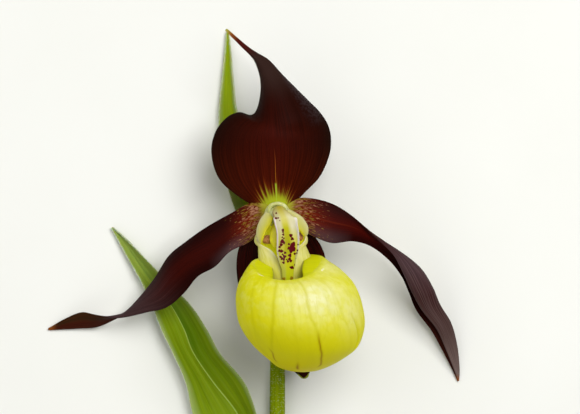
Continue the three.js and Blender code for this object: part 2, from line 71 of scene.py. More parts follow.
def limb_rings(path, radii, sides, steps, ribs=0, rib_share=0.0, across=(1, 0, 0)):
    """Rings of points round a limb along path, with ribs along it. Across is a direction that the limb
    never runs in."""
    fine = spline(path, np.linspace(0, 1, FINE_STEPS * len(path)))
    walked = np.append(0, np.cumsum(np.linalg.norm(np.diff(fine, axis=0), axis=1)))
    along = np.linspace(0, 1, steps + 1)
    centre = np.column_stack([np.interp(along * walked[-1], walked, fine[:, axis]) for axis in range(3)])
    heading = unit(np.gradient(centre, axis=0))
    side = unit(across - heading * (heading @ np.array(across, float))[:, None])
    lift = np.cross(side, heading)
    turn = np.linspace(0, 2 * np.pi, sides, endpoint=False)[None, :, None]
    radius = spline(radii, along)[:, None] * (1 + rib_share * np.cos(ribs * turn))
    rings = centre[:, None] + radius * (np.cos(turn) * side[:, None] + np.sin(turn) * lift[:, None])
    rings[..., 2] = np.maximum(rings[..., 2], 0)
    return rings


def closed_piece(name, rings, around, along, materials, zone=0, end_zone=0, flat_ends=False):
    """A closed mesh from rings of points in mm. Around and along are its UV map, and zone says which
    material each face has. Flat ends are stitched from side to side, and others run to a middle."""
    rows, count = rings.shape[:2]
    corners = np.arange(rows * count).reshape(rows, count)
    corners = np.hstack([corners, corners[:, :1]])
    uv = np.stack(np.meshgrid(around, along), axis=-1)

    def cells(table):
        return np.stack([table[:-1, :-1], table[:-1, 1:], table[1:, 1:], table[1:, :-1]], axis=2)

    points = rings.reshape(-1, 3).tolist()
    faces = cells(corners).reshape(-1, 4).tolist()
    face_uv = cells(uv).reshape(-1, 2).tolist()
    zones = np.broadcast_to(zone, (rows - 1, count)).ravel().tolist()
    for row in (0, rows - 1):
        if flat_ends:
            for i in range(count // 2):
                face = dict.fromkeys([i, i + 1, count - i - 1, (count - i) % count])
                faces.append([corners[row, step] for step in face])
                face_uv += [uv[row, step] for step in face]
        else:
            for i in range(count):
                faces.append([corners[row, i], corners[row, i + 1], len(points)])
                face_uv += [uv[row, i], uv[row, i + 1], uv[row, i]]
            points.append(rings[row].mean(axis=0).tolist())
    zones += [end_zone] * (len(faces) - len(zones))
    mesh = bpy.data.meshes.new(name)
    mesh.from_pydata(np.multiply(points, MILLIMETRE).tolist(), [], faces)
    mesh.uv_layers.new(name="blade").data.foreach_set("uv", np.ravel(face_uv))
    mesh.polygons.foreach_set("material_index", zones)
    return finished(mesh, materials)


def limb_piece(name, rings, materials, end_zone=0):
    """A closed piece from the rings of a limb."""
    rows, sides = rings.shape[:2]
    around = np.linspace(0, 1, sides + 1)
    return closed_piece(name, rings, around, np.linspace(0, 1, rows), materials, end_zone=end_zone)


def finished(mesh, materials):
    """A smooth piece from a mesh, with its faces turned to point out."""
    for material in materials:
        mesh.materials.append(material)
    shape = bmesh.new()
    shape.from_mesh(mesh)
    bmesh.ops.recalc_face_normals(shape, faces=shape.faces)
    shape.to_mesh(mesh)
    shape.free()
    mesh.shade_smooth()
    piece = bpy.data.objects.new(mesh.name, mesh)
    bpy.context.collection.objects.link(piece)
    return piece


HAIR_RINGS = [(-0.15, 1.0), (0.35, 0.8), (0.7, 0.5)]  # place on the hair, and share of its full radius
HAIR_LENGTHS = (0.55, 1.25)  # the shortest and the longest, as shares of the mean
HAIR_LEAN = 0.35  # how much the hairs stray from straight out, as a share of their length
HAIR_BEND = 0.25  # and how much their tips do
ASKEW = (0.3, 0.5, 0.8)  # a direction that hardly any hair has


def hairs(name, rooted, length, radius, material):
    """Soft tapering hairs of three sides, that each lean and bend their own way. Rooted holds the points
    where they stand, in mm, and the directions out of the surface there."""
    roots, directions = rooted
    count = len(roots)
    reach = (length * draw.uniform(*HAIR_LENGTHS, count))[:, None]
    lean = unit(directions + draw.normal(0, HAIR_LEAN, (count, 3)))
    bend = draw.normal(0, HAIR_BEND, (count, 3))
    side = unit(np.cross(lean, ASKEW))
    lift = np.cross(lean, side)
    rings = []
    for place, girth in HAIR_RINGS:
        middle = roots + reach * (place * lean + place**2 * bend)
        for turn in np.radians([0, 120, 240]):
            rings.append(middle + radius * girth * (np.cos(turn) * side + np.sin(turn) * lift))
    rings.append(roots + reach * (lean + bend))
    points = np.stack(rings, axis=1).reshape(-1, 3)
    points[:, 2] = np.maximum(points[:, 2], 0)
    tip = 3 * len(HAIR_RINGS)
    one_hair = [[0, 1, 2]]
    for k in range(3):
        after = (k + 1) % 3
        for step in range(0, tip - 3, 3):
            one_hair.append([step + k, step + after, step + 3 + after, step + 3 + k])
        one_hair.append([tip - 3 + k, tip - 3 + after, tip])
    faces = [[corner + (tip + 1) * hair for corner in face] for hair in range(count) for face in one_hair]
    mesh = bpy.data.meshes.new(name)
    mesh.from_pydata((points * MILLIMETRE).tolist(), [], faces)
    return finished(mesh, [material])


def linear(colour):
    """An sRGB hex colour as linear red, green and blue, with alpha 1."""
    channels = [int(colour[i:i + 2], 16) / 255 for i in (1, 3, 5)]
    return [c / 12.92 if c <= 0.04045 else ((c + 0.055) / 1.055) ** 2.4 for c in channels] + [1]


def blank(name):
    """A material with no nodes yet."""
    material = bpy.data.materials.new(name)
    material.use_nodes = True
    material.node_tree.nodes.clear()
    return material


def add(material, kind, inputs=(), stops=(), **settings):
    """Adds a node with its settings and colour stops. Its inputs are a list in order, or a dict by name,
    of values, hex colours, sockets, and nodes that stand for their first output."""
    node = material.node_tree.nodes.new("ShaderNode" + kind)
    for setting, value in settings.items():
        setattr(node, setting, value)
    for i, (place, colour) in enumerate(stops):
        stop = node.color_ramp.elements.new(place) if i > 1 else node.color_ramp.elements[i]
        stop.position = place
        stop.color = linear(colour)
    sockets = [socket for socket in node.inputs if socket.enabled]
    if isinstance(inputs, dict):
        sockets = [next(socket for socket in sockets if socket.name == name) for name in inputs]
        inputs = inputs.values()
    for socket, value in zip(sockets, inputs):
        if isinstance(value, bpy.types.Node):
            value = next(output for output in value.outputs if output.enabled)
        if isinstance(value, bpy.types.NodeSocket):
            material.node_tree.links.new(value, socket)
        else:
            socket.default_value = linear(value) if isinstance(value, str) else value
    return node


def places(material):
    """The places across and along a piece, from 0 to 1, and how far from its middle line, from 0 to 1."""
    split = add(material, "SeparateXYZ", [add(material, "UVMap", uv_map="blade")])
    doubled = add(material, "Math", [split.outputs["X"], 2, -1], operation="MULTIPLY_ADD")
    return split.outputs["X"], split.outputs["Y"], add(material, "Math", [doubled], operation="ABSOLUTE")


def streaks(material, many, long, detail=3):
    """Noise drawn out along a piece, with so many streaks across it and so many along it."""
    blade = add(material, "UVMap", uv_map="blade")
    drawn_out = add(material, "Mapping", {"Vector": blade, "Scale": (many, long, 1)})
    inputs = {"Vector": drawn_out, "Scale": 1, "Detail": detail}
    return add(material, "TexNoise", inputs, noise_dimensions="2D")


# Hairy plant skin: a thin waxy rind over wet green tissue, dull from its down, with paler ribs.
stem_skin = blank("hairy plant skin")
stem_fibres = streaks(stem_skin, 3 * STEM_RIBS, 6)
stem_green = add(stem_skin, "ValToRGB", [stem_fibres], [(0.3, "#6e8100"), (0.7, "#849600")])
stem_bump = add(stem_skin, "Bump", {"Strength": 0.25, "Distance": 0.0002, "Height": stem_fibres})
add(stem_skin, "OutputMaterial", [add(stem_skin, "BsdfPrincipled", {
    "Base Color": stem_green, "Roughness": 0.55, "Specular IOR Level": 0.04,
    "Subsurface Weight": 0.2, "Subsurface Scale": 0.001, "Normal": stem_bump})])

# Cut stem: wet pale pith with the ends of its strands, as a knife leaves it.
cut_pith = blank("cut pith")
strand_ends = add(cut_pith, "TexVoronoi", {"Vector": add(cut_pith, "TexCoord").outputs["Object"],
                                           "Scale": 1 / (0.5 * MILLIMETRE)})
pith_green = add(cut_pith, "ValToRGB", [strand_ends], [(0.15, "#8c9a4a"), (0.4, "#c9d29a")])
add(cut_pith, "OutputMaterial", [add(cut_pith, "BsdfPrincipled", {
    "Base Color": pith_green, "Roughness": 0.35, "Subsurface Weight": 0.2, "Subsurface Scale": 0.001})])

# Plant hair: a fine clear hair full of air, which reads as a white fringe against the light.
plant_hair = blank("plant hair")
hair_tint = add(plant_hair, "ValToRGB", [streaks(plant_hair, 3, 3)], [(0.3, "#dfe4c0"), (0.7, "#f4f5e6")])
add(plant_hair, "OutputMaterial", [add(plant_hair, "BsdfPrincipled", {
    "Base Color": hair_tint, "Roughness": 0.6, "Specular IOR Level": 0.3,
    "Subsurface Weight": 0.3, "Subsurface Scale": 0.0003})])

stem_rings = limb_rings(STEM_LINE, STEM_RADII, sides=72, steps=220, ribs=STEM_RIBS,
                        rib_share=STEM_RIB_SHARE)
stem = limb_piece("stem", stem_rings, [stem_skin, cut_pith], end_zone=1)
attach(stem, "root")
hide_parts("stem")


def places_on(rings, count, low=0.0, high=1.0):
    """Random places on a limb, between two shares of its length, with the direction out of it."""
    row = (draw.uniform(low, high, count) * (len(rings) - 1)).astype(int)
    column = draw.integers(0, rings.shape[1], count)
    roots = rings[row, column]
    return roots, unit(roots - rings.mean(axis=1)[row])


stem_hairs = hairs("stem_hairs", places_on(stem_rings, count=4200), length=0.5, radius=0.022,
                   material=plant_hair)
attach(stem_hairs, "root")

# ---- Leaf ----
# The upper stem leaf: its base is a sheath wrapped round the stem, and its blade spreads to the left,
# folded at the rib and pleated along its parallel veins. Fine hairs fringe both its margins.
LEAF_ROWS = [
    [[1.3, -54.4, 1.9], [-1.75, -54.4, 2.75], [1.3, -54.4, 3.7]],
    [[1.9, -53, 1.35], [-2.55, -53, 2.75], [1.9, -53, 4.2]],
    [[1.7, -47, 1.1], [-2.65, -47, 2.7], [1.7, -47, 4.6]],
    [[0.3, -42.5, 0.4], [-3.2, -40.2, 1.7], [-0.4, -39.6, 5.4]],
    [[-6.5, -39, 0.4], [-4.7, -34, 0.8], [-2.6, -33.4, 6.2]],
    [[-13.2, -33.5, 1.2], [-6.7, -28.6, 0.35], [-4, -27.8, 6.8]],
    [[-17.6, -26, 3], [-9.1, -23.7, 0.3], [-4.8, -23.3, 7.2]],
    [[-19.5, -18, 4.2], [-14, -17.6, 0.3], [-7.2, -17.5, 6.4]],
    [[-22.3, -11.5, 4.3], [-18.1, -11.5, 0.3], [-12.1, -11.8, 5.4]],
    [[-24.7, -6.6, 4], [-20.1, -6.4, 0.3], [-14.9, -6.8, 4.6]],
    [[-26.7, -1.5, 3.4], [-23, -1.2, 0.3], [-18.4, -1.5, 4]],
    [[-29, 3.4, 2.6], [-26.6, 3, 0.3], [-23.3, 3.4, 3.3]],
    [[-31.6, 8, 1.8], [-30, 7.7, 0.3], [-27.8, 8.1, 2.5]],
    [[-33.8, 12, 1.2], [-33, 12.2, 0.3], [-31.7, 12, 1.6]],
    [[-35.5, 15, 0.8], [-35.3, 15.2, 0.5], [-35, 15, 0.8]],
]
LEAF_PLEATS = 5
LEAF_PLEAT_DEPTH = 0.18
LEAF_VEINS = 24
LEAF_PALE_VEINS = 11
LEAF_VEIN_HEIGHT = 0.015
LEAF_THICKNESS = 0.5
LEAF_CREASE = 0.5  # 0 is a round fold at the rib, and 1 a sharp one
SHEATH_END = (0.18, 0.4)  # the shares of the length where the sheath opens out into the blade
REST_HEIGHT = 0.3  # height of the middle of a blade where it lies flat
REST_ROUNDING = 0.25  # how softly it comes down to that height
LOWEST = 0.02  # the lowest point of any blade


def ease(low, high, value):
    """0 at low and 1 at high, and smooth in between."""
    share = np.clip((value - low) / (high - low), 0, 1)
    return share * share * (3 - 2 * share)


def grid(across_steps, along_steps):
    """Places across a blade from -1 to 1, closer together at its margins, and along it from 0 to 1."""
    even = np.linspace(-1, 1, across_steps + 1)
    across = (even + np.sin(even * np.pi / 2)) / 2
    return across[None, :, None], np.linspace(0, 1, along_steps + 1)[:, None, None]


def blade_surface(rows, across, along, crease=0.0):
    """Points on a blade. Each row of its shape has a left edge, a rib and a right edge, which a round
    arc joins. It lies flat where it would sink below the table."""
    left, rib, right = [spline([row[k] for row in rows], along.ravel())[:, None] for k in range(3)]
    edge = np.where(across < 0, left, right)
    share = np.abs(across)
    straight = rib + (edge - rib) * share
    to_left = left - rib
    to_right = right - rib
    axis = np.cross(to_left, to_right)
    left_square = np.sum(to_left**2, axis=-1, keepdims=True)
    right_square = np.sum(to_right**2, axis=-1, keepdims=True)
    axis_square = np.sum(axis**2, axis=-1, keepdims=True)
    bent = axis_square > 1e-6 * left_square * right_square
    to_centre = np.cross(to_right * left_square - to_left * right_square, axis)
    to_centre = to_centre / np.where(bent, 2 * axis_square, 1)
    edge_spoke = edge - rib - to_centre
    angle = np.arccos(np.clip(np.sum(unit(-to_centre) * unit(edge_spoke), axis=-1, keepdims=True), -1, 1))
    angle = np.maximum(angle, 1e-6)
    arc = to_centre - to_centre * np.sin((1 - share) * angle) / np.sin(angle)
    arc = rib + arc + edge_spoke * np.sin(share * angle) / np.sin(angle)
    points = np.where(bent, arc, straight)
    points = points + (straight - points) * crease
    height = points[..., 2] - REST_HEIGHT
    points[..., 2] = REST_HEIGHT + (height + np.sqrt(height**2 + REST_ROUNDING**2)) / 2
    return points


def blade_piece(name, points, across, along, materials, thickness, relief=0.0):
    """A thin closed blade on both sides of a surface, with rounded margins. Relief lifts both sides.
    The first material is on the side that faces up at the blade's base, and the second on its back."""
    normal = unit(np.cross(np.gradient(points, axis=1), np.gradient(points, axis=0)))
    if normal[0, normal.shape[1] // 2, 2] < 0:
        normal = -normal
    # A blade keeps its thickness almost to its margins, and thins only right at its tip.
    half = thickness / 2 * np.sqrt(np.maximum(1 - across**8, 0)) * np.sqrt(1 - 0.9 * along**16)
    front = points + normal * (relief + half)
    back = points + normal * (relief - half)
    rings = np.hstack([front, back[:, -2:0:-1]])
    rings[..., 2] = np.maximum(rings[..., 2], LOWEST)
    half_way = (across.ravel() + 1) / 2
    return closed_piece(name, rings, np.append(half_way, half_way[-2::-1]), along.ravel(), materials,
                        zone=np.arange(rings.shape[1]) >= across.size - 1, flat_ends=True)


def raised_veins(height, across, count, wander=0.0):
    """The height of lengthwise veins or pleats on a blade, which fade out at its margins."""
    return height * np.cos(np.pi * count * (across + wander)) * (1 - across**4)


def places_at_margins(points, count, low=0.0, high=1.0):
    """Random places on both margins of a blade, between two shares of its length, with the direction
    out of it."""
    side = draw.choice([0, -1], count)
    row = draw.uniform(low, high, count) * (len(points) - 1)
    first = np.minimum(row.astype(int), len(points) - 2)
    share = (row - first)[:, None]
    roots = points[first, side] * (1 - share) + points[first + 1, side] * share
    return roots, unit(roots - points[first, np.where(side, -4, 3)])


def coated(material, colour, coats):
    """The colour with coats laid over it in turn. A coat is its own colour and the shares it covers, which
    are multiplied. A share is a node or a number, or a place with where it starts and ends and the
    strengths there, with a smooth change between them."""
    for coat, *shares in coats:
        covered = 1
        for share in shares:
            if isinstance(share, tuple):
                share = add(material, "MapRange", share, interpolation_type="SMOOTHSTEP")
            covered = add(material, "Math", [covered, share], operation="MULTIPLY")
        colour = add(material, "Mix", [covered, colour, coat], data_type="RGBA")
    return colour


# Leaf blade: thin satin leaf, with a pale rib, paler parallel veins and a soft pale margin.
leaf_blade = blank("pleated leaf")
leaf_across, leaf_along, leaf_beside = places(leaf_blade)
leaf_fibres = streaks(leaf_blade, 60, 5)
leaf_green = add(leaf_blade, "ValToRGB", [leaf_fibres], [(0.3, "#6e8606"), (0.7, "#7e940e")])
shade_across = add(leaf_blade, "MapRange", [leaf_across, 0.53, 0.9, 0.9, 0.0])
shade_along = add(leaf_blade, "MapRange", [leaf_along, 0.46, 0.6])
leaf_veins = add(leaf_blade, "Math", [leaf_across, 2 * np.pi * LEAF_PALE_VEINS], operation="MULTIPLY")
leaf_veins = add(leaf_blade, "Math", [leaf_veins], operation="COSINE")
leaf_green = coated(leaf_blade, leaf_green, [
    ("#486a00", (leaf_across, 0.49, 0.53), shade_across, shade_along),  # the shaded side of the fold
    ("#a3b850", (leaf_veins, 0.1, 1.0, 0, 0.07)),
    ("#b1c668", (leaf_beside, 0.01, 0.035, 0.6, 0)),  # the rib
    ("#9fb168", (leaf_beside, 0.72, 1.0, 0, 0.8)),  # the margins
    ("#8b9c48", (leaf_along, 0.63, 0.95, 0, 0.8)),  # the tip
])
leaf_bump = add(leaf_blade, "Bump", {"Strength": 0.35, "Distance": 0.0002, "Height": leaf_fibres})
add(leaf_blade, "OutputMaterial", [add(leaf_blade, "BsdfPrincipled", {
    "Base Color": leaf_green, "Roughness": 0.55, "Specular IOR Level": 0.05,
    "Subsurface Weight": 0.1, "Subsurface Scale": 0.001, "Normal": leaf_bump})])

across, along = grid(across_steps=72, along_steps=200)
leaf_open = ease(*SHEATH_END, along)
leaf_points = blade_surface(LEAF_ROWS, across, along, LEAF_CREASE * leaf_open)
leaf_relief = raised_veins(LEAF_PLEAT_DEPTH, across, LEAF_PLEATS) * leaf_open * (1 - along)
leaf_relief = leaf_relief + raised_veins(LEAF_VEIN_HEIGHT, across, LEAF_VEINS)
leaf = blade_piece("leaf", leaf_points, across, along, [leaf_blade, leaf_blade], LEAF_THICKNESS,
                   leaf_relief)
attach(leaf, "root")
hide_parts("leaf")

leaf_hairs = hairs("leaf_hairs", places_at_margins(leaf_points, count=3600), length=0.5, radius=0.024,
                   material=plant_hair)
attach(leaf_hairs, "root")

# ---- Bract ----
# The bract: a pointed leaf that clasps the node from behind and stands up behind the flower. It lies
# flat on its keel, and both its margins are fringed with fine hairs.
BRACT_ROWS = [
    [[-1.6, -7.6, 3.4], [0, -7.6, 1.1], [1.6, -7.6, 3.4]],
    [[-2.9, -6, 3.6], [0, -6, -0.5], [2.9, -6, 3.6]],
    [[-4.3, 1.5, 4.6], [-0.1, 1.5, -0.6], [4.2, 1.5, 4.6]],
    [[-6.0, 9, 4.5], [-1.4, 9, -0.6], [3.9, 9, 4.5]],
    [[-8.3, 16.5, 4.1], [-3.1, 16.5, -0.6], [2.4, 16.5, 4.2]],
    [[-10.6, 23.6, 3.6], [-5.2, 23.6, -0.5], [0.6, 23.6, 3.7]],
    [[-12.4, 31.5, 2.8], [-8.1, 31.5, -0.3], [-3.6, 31.5, 3]],
    [[-12.5, 39, 2], [-10.3, 39, 0], [-8.4, 39, 2.1]],
    [[-12, 45.4, 1.4], [-10.7, 45.4, 0.2], [-9.4, 45.4, 1.5]],
    [[-11.4, 51.2, 1.1], [-10.7, 51.2, 0.4], [-9.9, 51.2, 1.1]],
    [[-10.95, 56.8, 0.9], [-10.7, 57, 0.7], [-10.4, 56.8, 0.9]],
]
BRACT_VEINS = 9

# Bract blade: thinner and yellower than the leaf, so that light fills it.
bract_blade = blank("thin young leaf")
bract_beside = places(bract_blade)[2]
bract_fibres = streaks(bract_blade, 40, 4)
bract_green = add(bract_blade, "ValToRGB", [bract_fibres], [(0.3, "#788e06"), (0.7, "#8ea00c")])
bract_green = coated(bract_blade, bract_green, [("#adbb66", (bract_beside, 0.3, 1.0, 0, 0.9))])
bract_bump = add(bract_blade, "Bump", {"Strength": 0.3, "Distance": 0.0002, "Height": bract_fibres})
add(bract_blade, "OutputMaterial", [add(bract_blade, "BsdfPrincipled", {
    "Base Color": bract_green, "Roughness": 0.55, "Specular IOR Level": 0.05,
    "Subsurface Weight": 0.2, "Subsurface Scale": 0.001, "Normal": bract_bump})])

across, along = grid(across_steps=56, along_steps=150)
bract_points = blade_surface(BRACT_ROWS, across, along)
bract_relief = raised_veins(LEAF_VEIN_HEIGHT, across, BRACT_VEINS) * (1 - along)
bract = blade_piece("bract", bract_points, across, along, [bract_blade, bract_blade], LEAF_THICKNESS,
                    bract_relief)
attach(bract, "root")
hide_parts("bract")

bract_hairs = hairs("bract_hairs", places_at_margins(bract_points, count=3000), length=0.55,
                    radius=0.024, material=plant_hair)
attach(bract_hairs, "root")

# ---- Ovary ----
# The ovary: a six-ribbed spindle that rises from the node and bends forward to carry the flower. It
# is covered in short hairs.
OVARY_LINE = [[0, 1.7, 3.05], [0, 5, 3.9], [0.05, 9.5, 5.7], [0.1, 13.8, 8.4], [0.05, 16.7, 11.2],
              [0, 17.6, 13.9], [0, 17.9, 15.1]]
OVARY_RADII = [1.7, 2.15, 2.35, 2.3, 2.1, 2.2, 2.1]
OVARY_RIBS = 6
OVARY_RIB_SHARE = 0.07

ovary_rings = limb_rings(OVARY_LINE, OVARY_RADII, sides=72, steps=90, ribs=OVARY_RIBS,
                         rib_share=OVARY_RIB_SHARE)
ovary = limb_piece("ovary", ovary_rings, [stem_skin])
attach(ovary, "root")
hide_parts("ovary")

ovary_hairs = hairs("ovary_hairs", places_on(ovary_rings, count=1500, low=0.03, high=0.9), length=0.6,
                    radius=0.025, material=plant_hair)
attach(ovary_hairs, "root")

# ---- Dorsal sepal ----
# The upright sepal: a broad thin blade bulged to the front, whose left edge is notched where it rolls
# back, with a long tip bent over to the left. Its veins fan out from a yellow-green base.
DORSAL_ROWS = [
    [[-2.6, 18.6, 15.5], [0, 18.3, 15.5], [2.4, 18.6, 15.5]],
    [[-7.6, 21.3, 15.2], [-0.2, 21.3, 15.9], [5.2, 22, 15.2]],
    [[-12.2, 25.3, 15.5], [-0.4, 25.5, 17.8], [8.9, 25.9, 15.5]],
    [[-13.9, 30.6, 15.5], [-0.5, 29.8, 19.2], [10.9, 30.4, 15.5]],
    [[-13.2, 35, 15.6], [-0.8, 32.6, 19.8], [11.3, 33.7, 15.2]],
    [[-10.9, 38.2, 15.5], [-1, 34.2, 20], [10.9, 36.1, 14.8]],
    [[-8.2, 39.5, 15.4], [-1.1, 35.6, 19.9], [10.1, 37.9, 14.6]],
    [[-5.7, 38.9, 15.4], [-1.2, 37.3, 19.6], [8.6, 39.9, 14.6]],
    [[-4.4, 40, 15.5], [-1.2, 39.8, 19.1], [6.2, 42.2, 14.9]],
    [[-3.6, 43.2, 15.9], [-1.3, 43.4, 18.5], [3.5, 44.8, 15.3]],
    [[-3.6, 46.4, 16.3], [-1.7, 46.9, 17.9], [0.8, 47.4, 15.8]],
    [[-4.4, 49.4, 16.7], [-3, 49.9, 17.6], [-1.8, 50.2, 16.6]],
    [[-5.3, 51, 17], [-4.7, 51.4, 17.4], [-4.1, 51.7, 17.1]],
    [[-7.3, 53.1, 17.5], [-7, 53.3, 17.7], [-6.8, 53.5, 17.5]],
    [[-10.9, 56.6, 18.4], [-10.8, 56.8, 18.5], [-10.6, 56.9, 18.4]],
]
PETAL_THICKNESS = 0.5
SEPAL_VEINS = 17
SEPAL_WAVE = 0.15  # height of the slow waves in the blade
PETAL_VEIN_HEIGHT = 0.02


def blotches(material, size, detail):
    """Noise of about this size in millimetres, the same in all directions."""
    middle = add(material, "TexCoord").outputs["Object"]
    return add(material, "TexNoise", {"Vector": middle, "Scale": 1 / (size * MILLIMETRE), "Detail": detail})


# Satin sepal: thin dark maroon tissue with a fine lengthwise grain. It is redder in its middle, with a
# painted red glow of light through its lower part, and goes nearly black at its edges. A painted grey sheen
# lies on its right shoulder and neck, and a painted backlit red rim runs up the left of its neck.
sepal_face = blank("satin maroon sepal")
sepal_across, sepal_along, sepal_beside = places(sepal_face)
sepal_fibres = streaks(sepal_face, 120, 3)
sepal_red = add(sepal_face, "ValToRGB", [sepal_beside],
                [(0, "#3c0b04"), (0.4, "#320902"), (0.8, "#220702"), (1, "#170a04")])
sepal_grain = add(sepal_face, "MapRange", [sepal_fibres, 0.38, 0.6, 0.45, 0])
sepal_backlit_glow = add(sepal_face, "MapRange", [streaks(sepal_face, 60, 1.5, 4), 0.35, 0.7, 0.2, 0.8])
neck_sheen_tone = add(sepal_face, "ValToRGB", [sepal_along], [(0.57, "#1e0a06"), (0.73, "#30201b")])
midline_tone = add(sepal_face, "ValToRGB", [sepal_along],
                   [(0.12, "#a86c18"), (0.2, "#8e4414"), (0.28, "#5a1c0c")])
tip_tone = add(sepal_face, "ValToRGB", [sepal_along],
               [(0.88, "#38100c"), (0.955, "#48120c"), (0.98, "#84461a"), (1, "#aaa84a")])
# The star at the base: soft rays that run up the veins round a solid core, and one clear ray up the rib.
star_edge = add(sepal_face, "Math", [sepal_beside, sepal_beside], operation="MULTIPLY")
star_edge = add(sepal_face, "Math", [star_edge, 0.16, sepal_along], operation="MULTIPLY_ADD")
star_rays = add(sepal_face, "MapRange", [streaks(sepal_face, 36, 1.2, 4), 0.42, 0.68, 0.085, 0.128])
star_rays = add(sepal_face, "Math", [star_rays, star_edge], operation="SUBTRACT")
ray_tone = add(sepal_face, "ValToRGB", [add(sepal_face, "MapRange", [star_rays, -0.05, 0.02])],
               [(0, "#521608"), (0.5, "#662a0a"), (0.78, "#7c641a"), (1, "#96981e")])
rib_ray_end = add(sepal_face, "MapRange", [sepal_along, 0.124, 0.131, 1, 0])
# A painted sheen greys the right shoulder in specks where light catches its down, and a painted backlit red
# rim runs up the left of the neck.
down = add(sepal_face, "MapRange", [blotches(sepal_face, 0.5, 2), 0.42, 0.6, 0.1, 1.0])
shoulder_sheen_reach = add(sepal_face, "ValToRGB", [sepal_along],
                     [(0.42, "#000000"), (0.52, "#cccccc"), (0.68, "#ffffff"), (0.84, "#000000")])
backlit_rim_reach = add(sepal_face, "ValToRGB", [sepal_along],
                [(0.6, "#000000"), (0.72, "#ffffff"), (0.86, "#ffffff"), (0.94, "#000000")])
sepal_red = coated(sepal_face, sepal_red, [
    ("#170301", sepal_grain),
    # a painted red glow of light through the lower middle
    ("#5e1c06", sepal_backlit_glow, (sepal_along, 0.06, 0.3, 0.55, 0)),
    ("#120401", (sepal_along, 0.38, 0.56, 0, 0.5)),  # the upper part
    # the neck, darker and then greyed towards its tip by a painted sheen
    (neck_sheen_tone, (sepal_along, 0.56, 0.7, 0, 0.85)),
    (midline_tone, (sepal_beside, 0.001, 0.009, 1, 0), (sepal_along, 0.15, 0.3, 0.85, 0)),
    (ray_tone, (star_rays, -0.05, 0.0, 0, 0.9)),
    ("#a0aa20", (star_edge, 0.068, 0.1, 0.9, 0)),  # the core of the star
    ("#9eb42e", (sepal_beside, 0.008, 0.026, 0.9, 0), rib_ray_end),
    # a painted grey sheen, in specks, on the right shoulder
    ("#3a2e30", (sepal_across, 0.74, 0.95), down, shoulder_sheen_reach),
    # a painted backlit red rim up the left of the neck
    ("#5e1014", (sepal_across, 0.02, 0.07, 1, 0), backlit_rim_reach),
    (tip_tone, (sepal_along, 0.84, 0.93)),
])
sepal_bump = add(sepal_face, "Bump", {"Strength": 0.4, "Distance": 0.0001, "Height": sepal_fibres})
add(sepal_face, "OutputMaterial", [add(sepal_face, "BsdfPrincipled", {
    "Base Color": sepal_red, "Roughness": 0.5, "Specular IOR Level": 0.02, "Normal": sepal_bump})])

across, along = grid(across_steps=96, along_steps=210)
dorsal_points = blade_surface(DORSAL_ROWS, across, along)
vein_wander = 0.02 * np.sin(9 * across + 6 * along)
dorsal_relief = raised_veins(PETAL_VEIN_HEIGHT / 2, across, SEPAL_VEINS, vein_wander) * (1 - along)
dorsal_wave = np.sin(7 * along + 2.5 * across) * np.sin(3 * across) * ease(0.05, 0.3, along)
dorsal_relief = dorsal_relief + SEPAL_WAVE * dorsal_wave
dorsal_sepal = blade_piece("dorsal_sepal", dorsal_points, across, along, [sepal_face, sepal_face],
                           PETAL_THICKNESS, dorsal_relief)
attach(dorsal_sepal, "root")
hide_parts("dorsal_sepal")

dorsal_places = places_at_margins(dorsal_points, count=900, low=0.68, high=1.0)
dorsal_hairs = hairs("dorsal_sepal_hairs", dorsal_places, length=0.4, radius=0.02, material=plant_hair)
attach(dorsal_hairs, "root")

# ---- Synsepal ----
# The synsepal: the two lower sepals grown together into one blade behind the pouch, with a short
# notched tip edged in yellow-green.
SYNSEPAL_ROWS = [
    [[-2.4, 17.3, 15.5], [0, 17.5, 15.5], [2.4, 17.3, 15.5]],
    [[-6.5, 14, 15], [0.1, 14, 14.9], [6.9, 14.4, 15]],
    [[-8.5, 9.5, 12.2], [0.5, 9, 11.4], [9.9, 9.6, 12.2]],
    [[-8.4, 3.5, 10.2], [1.2, 3, 8.8], [10.3, 3.5, 10.2]],
    [[-6.5, -3, 9.2], [2.4, -3.5, 7.4], [9.8, -2.5, 9.2]],
    [[-2.8, -9, 9], [3.8, -9.5, 7.3], [8.7, -8.5, 9]],
    [[1.3, -13.2, 9.4], [4.9, -13.5, 8.2], [7.6, -12.8, 9.2]],
    [[4.8, -16.2, 10], [5.5, -16.8, 9.6], [6.5, -16.1, 9.9]],
]

# Shaded sepal: the same satin tissue, darker, with a thin yellow-green rim round its tip.
synsepal_face = blank("satin maroon lower sepals")
lower_along, lower_beside = places(synsepal_face)[1:]
lower_fibres = streaks(synsepal_face, 90, 3)
lower_red = add(synsepal_face, "ValToRGB", [lower_fibres], [(0.35, "#170402"), (0.65, "#360704")])
lower_rim = add(synsepal_face, "Math", [lower_beside, 0.02, lower_along], operation="MULTIPLY_ADD")
lower_red = coated(synsepal_face, lower_red, [("#8f9a2a", (lower_rim, 0.992, 1.002))])
lower_bump = add(synsepal_face, "Bump", {"Strength": 0.4, "Distance": 0.0001, "Height": lower_fibres})
add(synsepal_face, "OutputMaterial", [add(synsepal_face, "BsdfPrincipled", {
    "Base Color": lower_red, "Roughness": 0.5, "Specular IOR Level": 0.04, "Normal": lower_bump})])

across, along = grid(across_steps=72, along_steps=130)
synsepal_points = blade_surface(SYNSEPAL_ROWS, across, along)
synsepal_relief = raised_veins(PETAL_VEIN_HEIGHT, across, SEPAL_VEINS) * (1 - along)
synsepal = blade_piece("synsepal", synsepal_points, across, along, [synsepal_face, synsepal_face],
                       PETAL_THICKNESS, synsepal_relief)
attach(synsepal, "root")
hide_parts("synsepal")
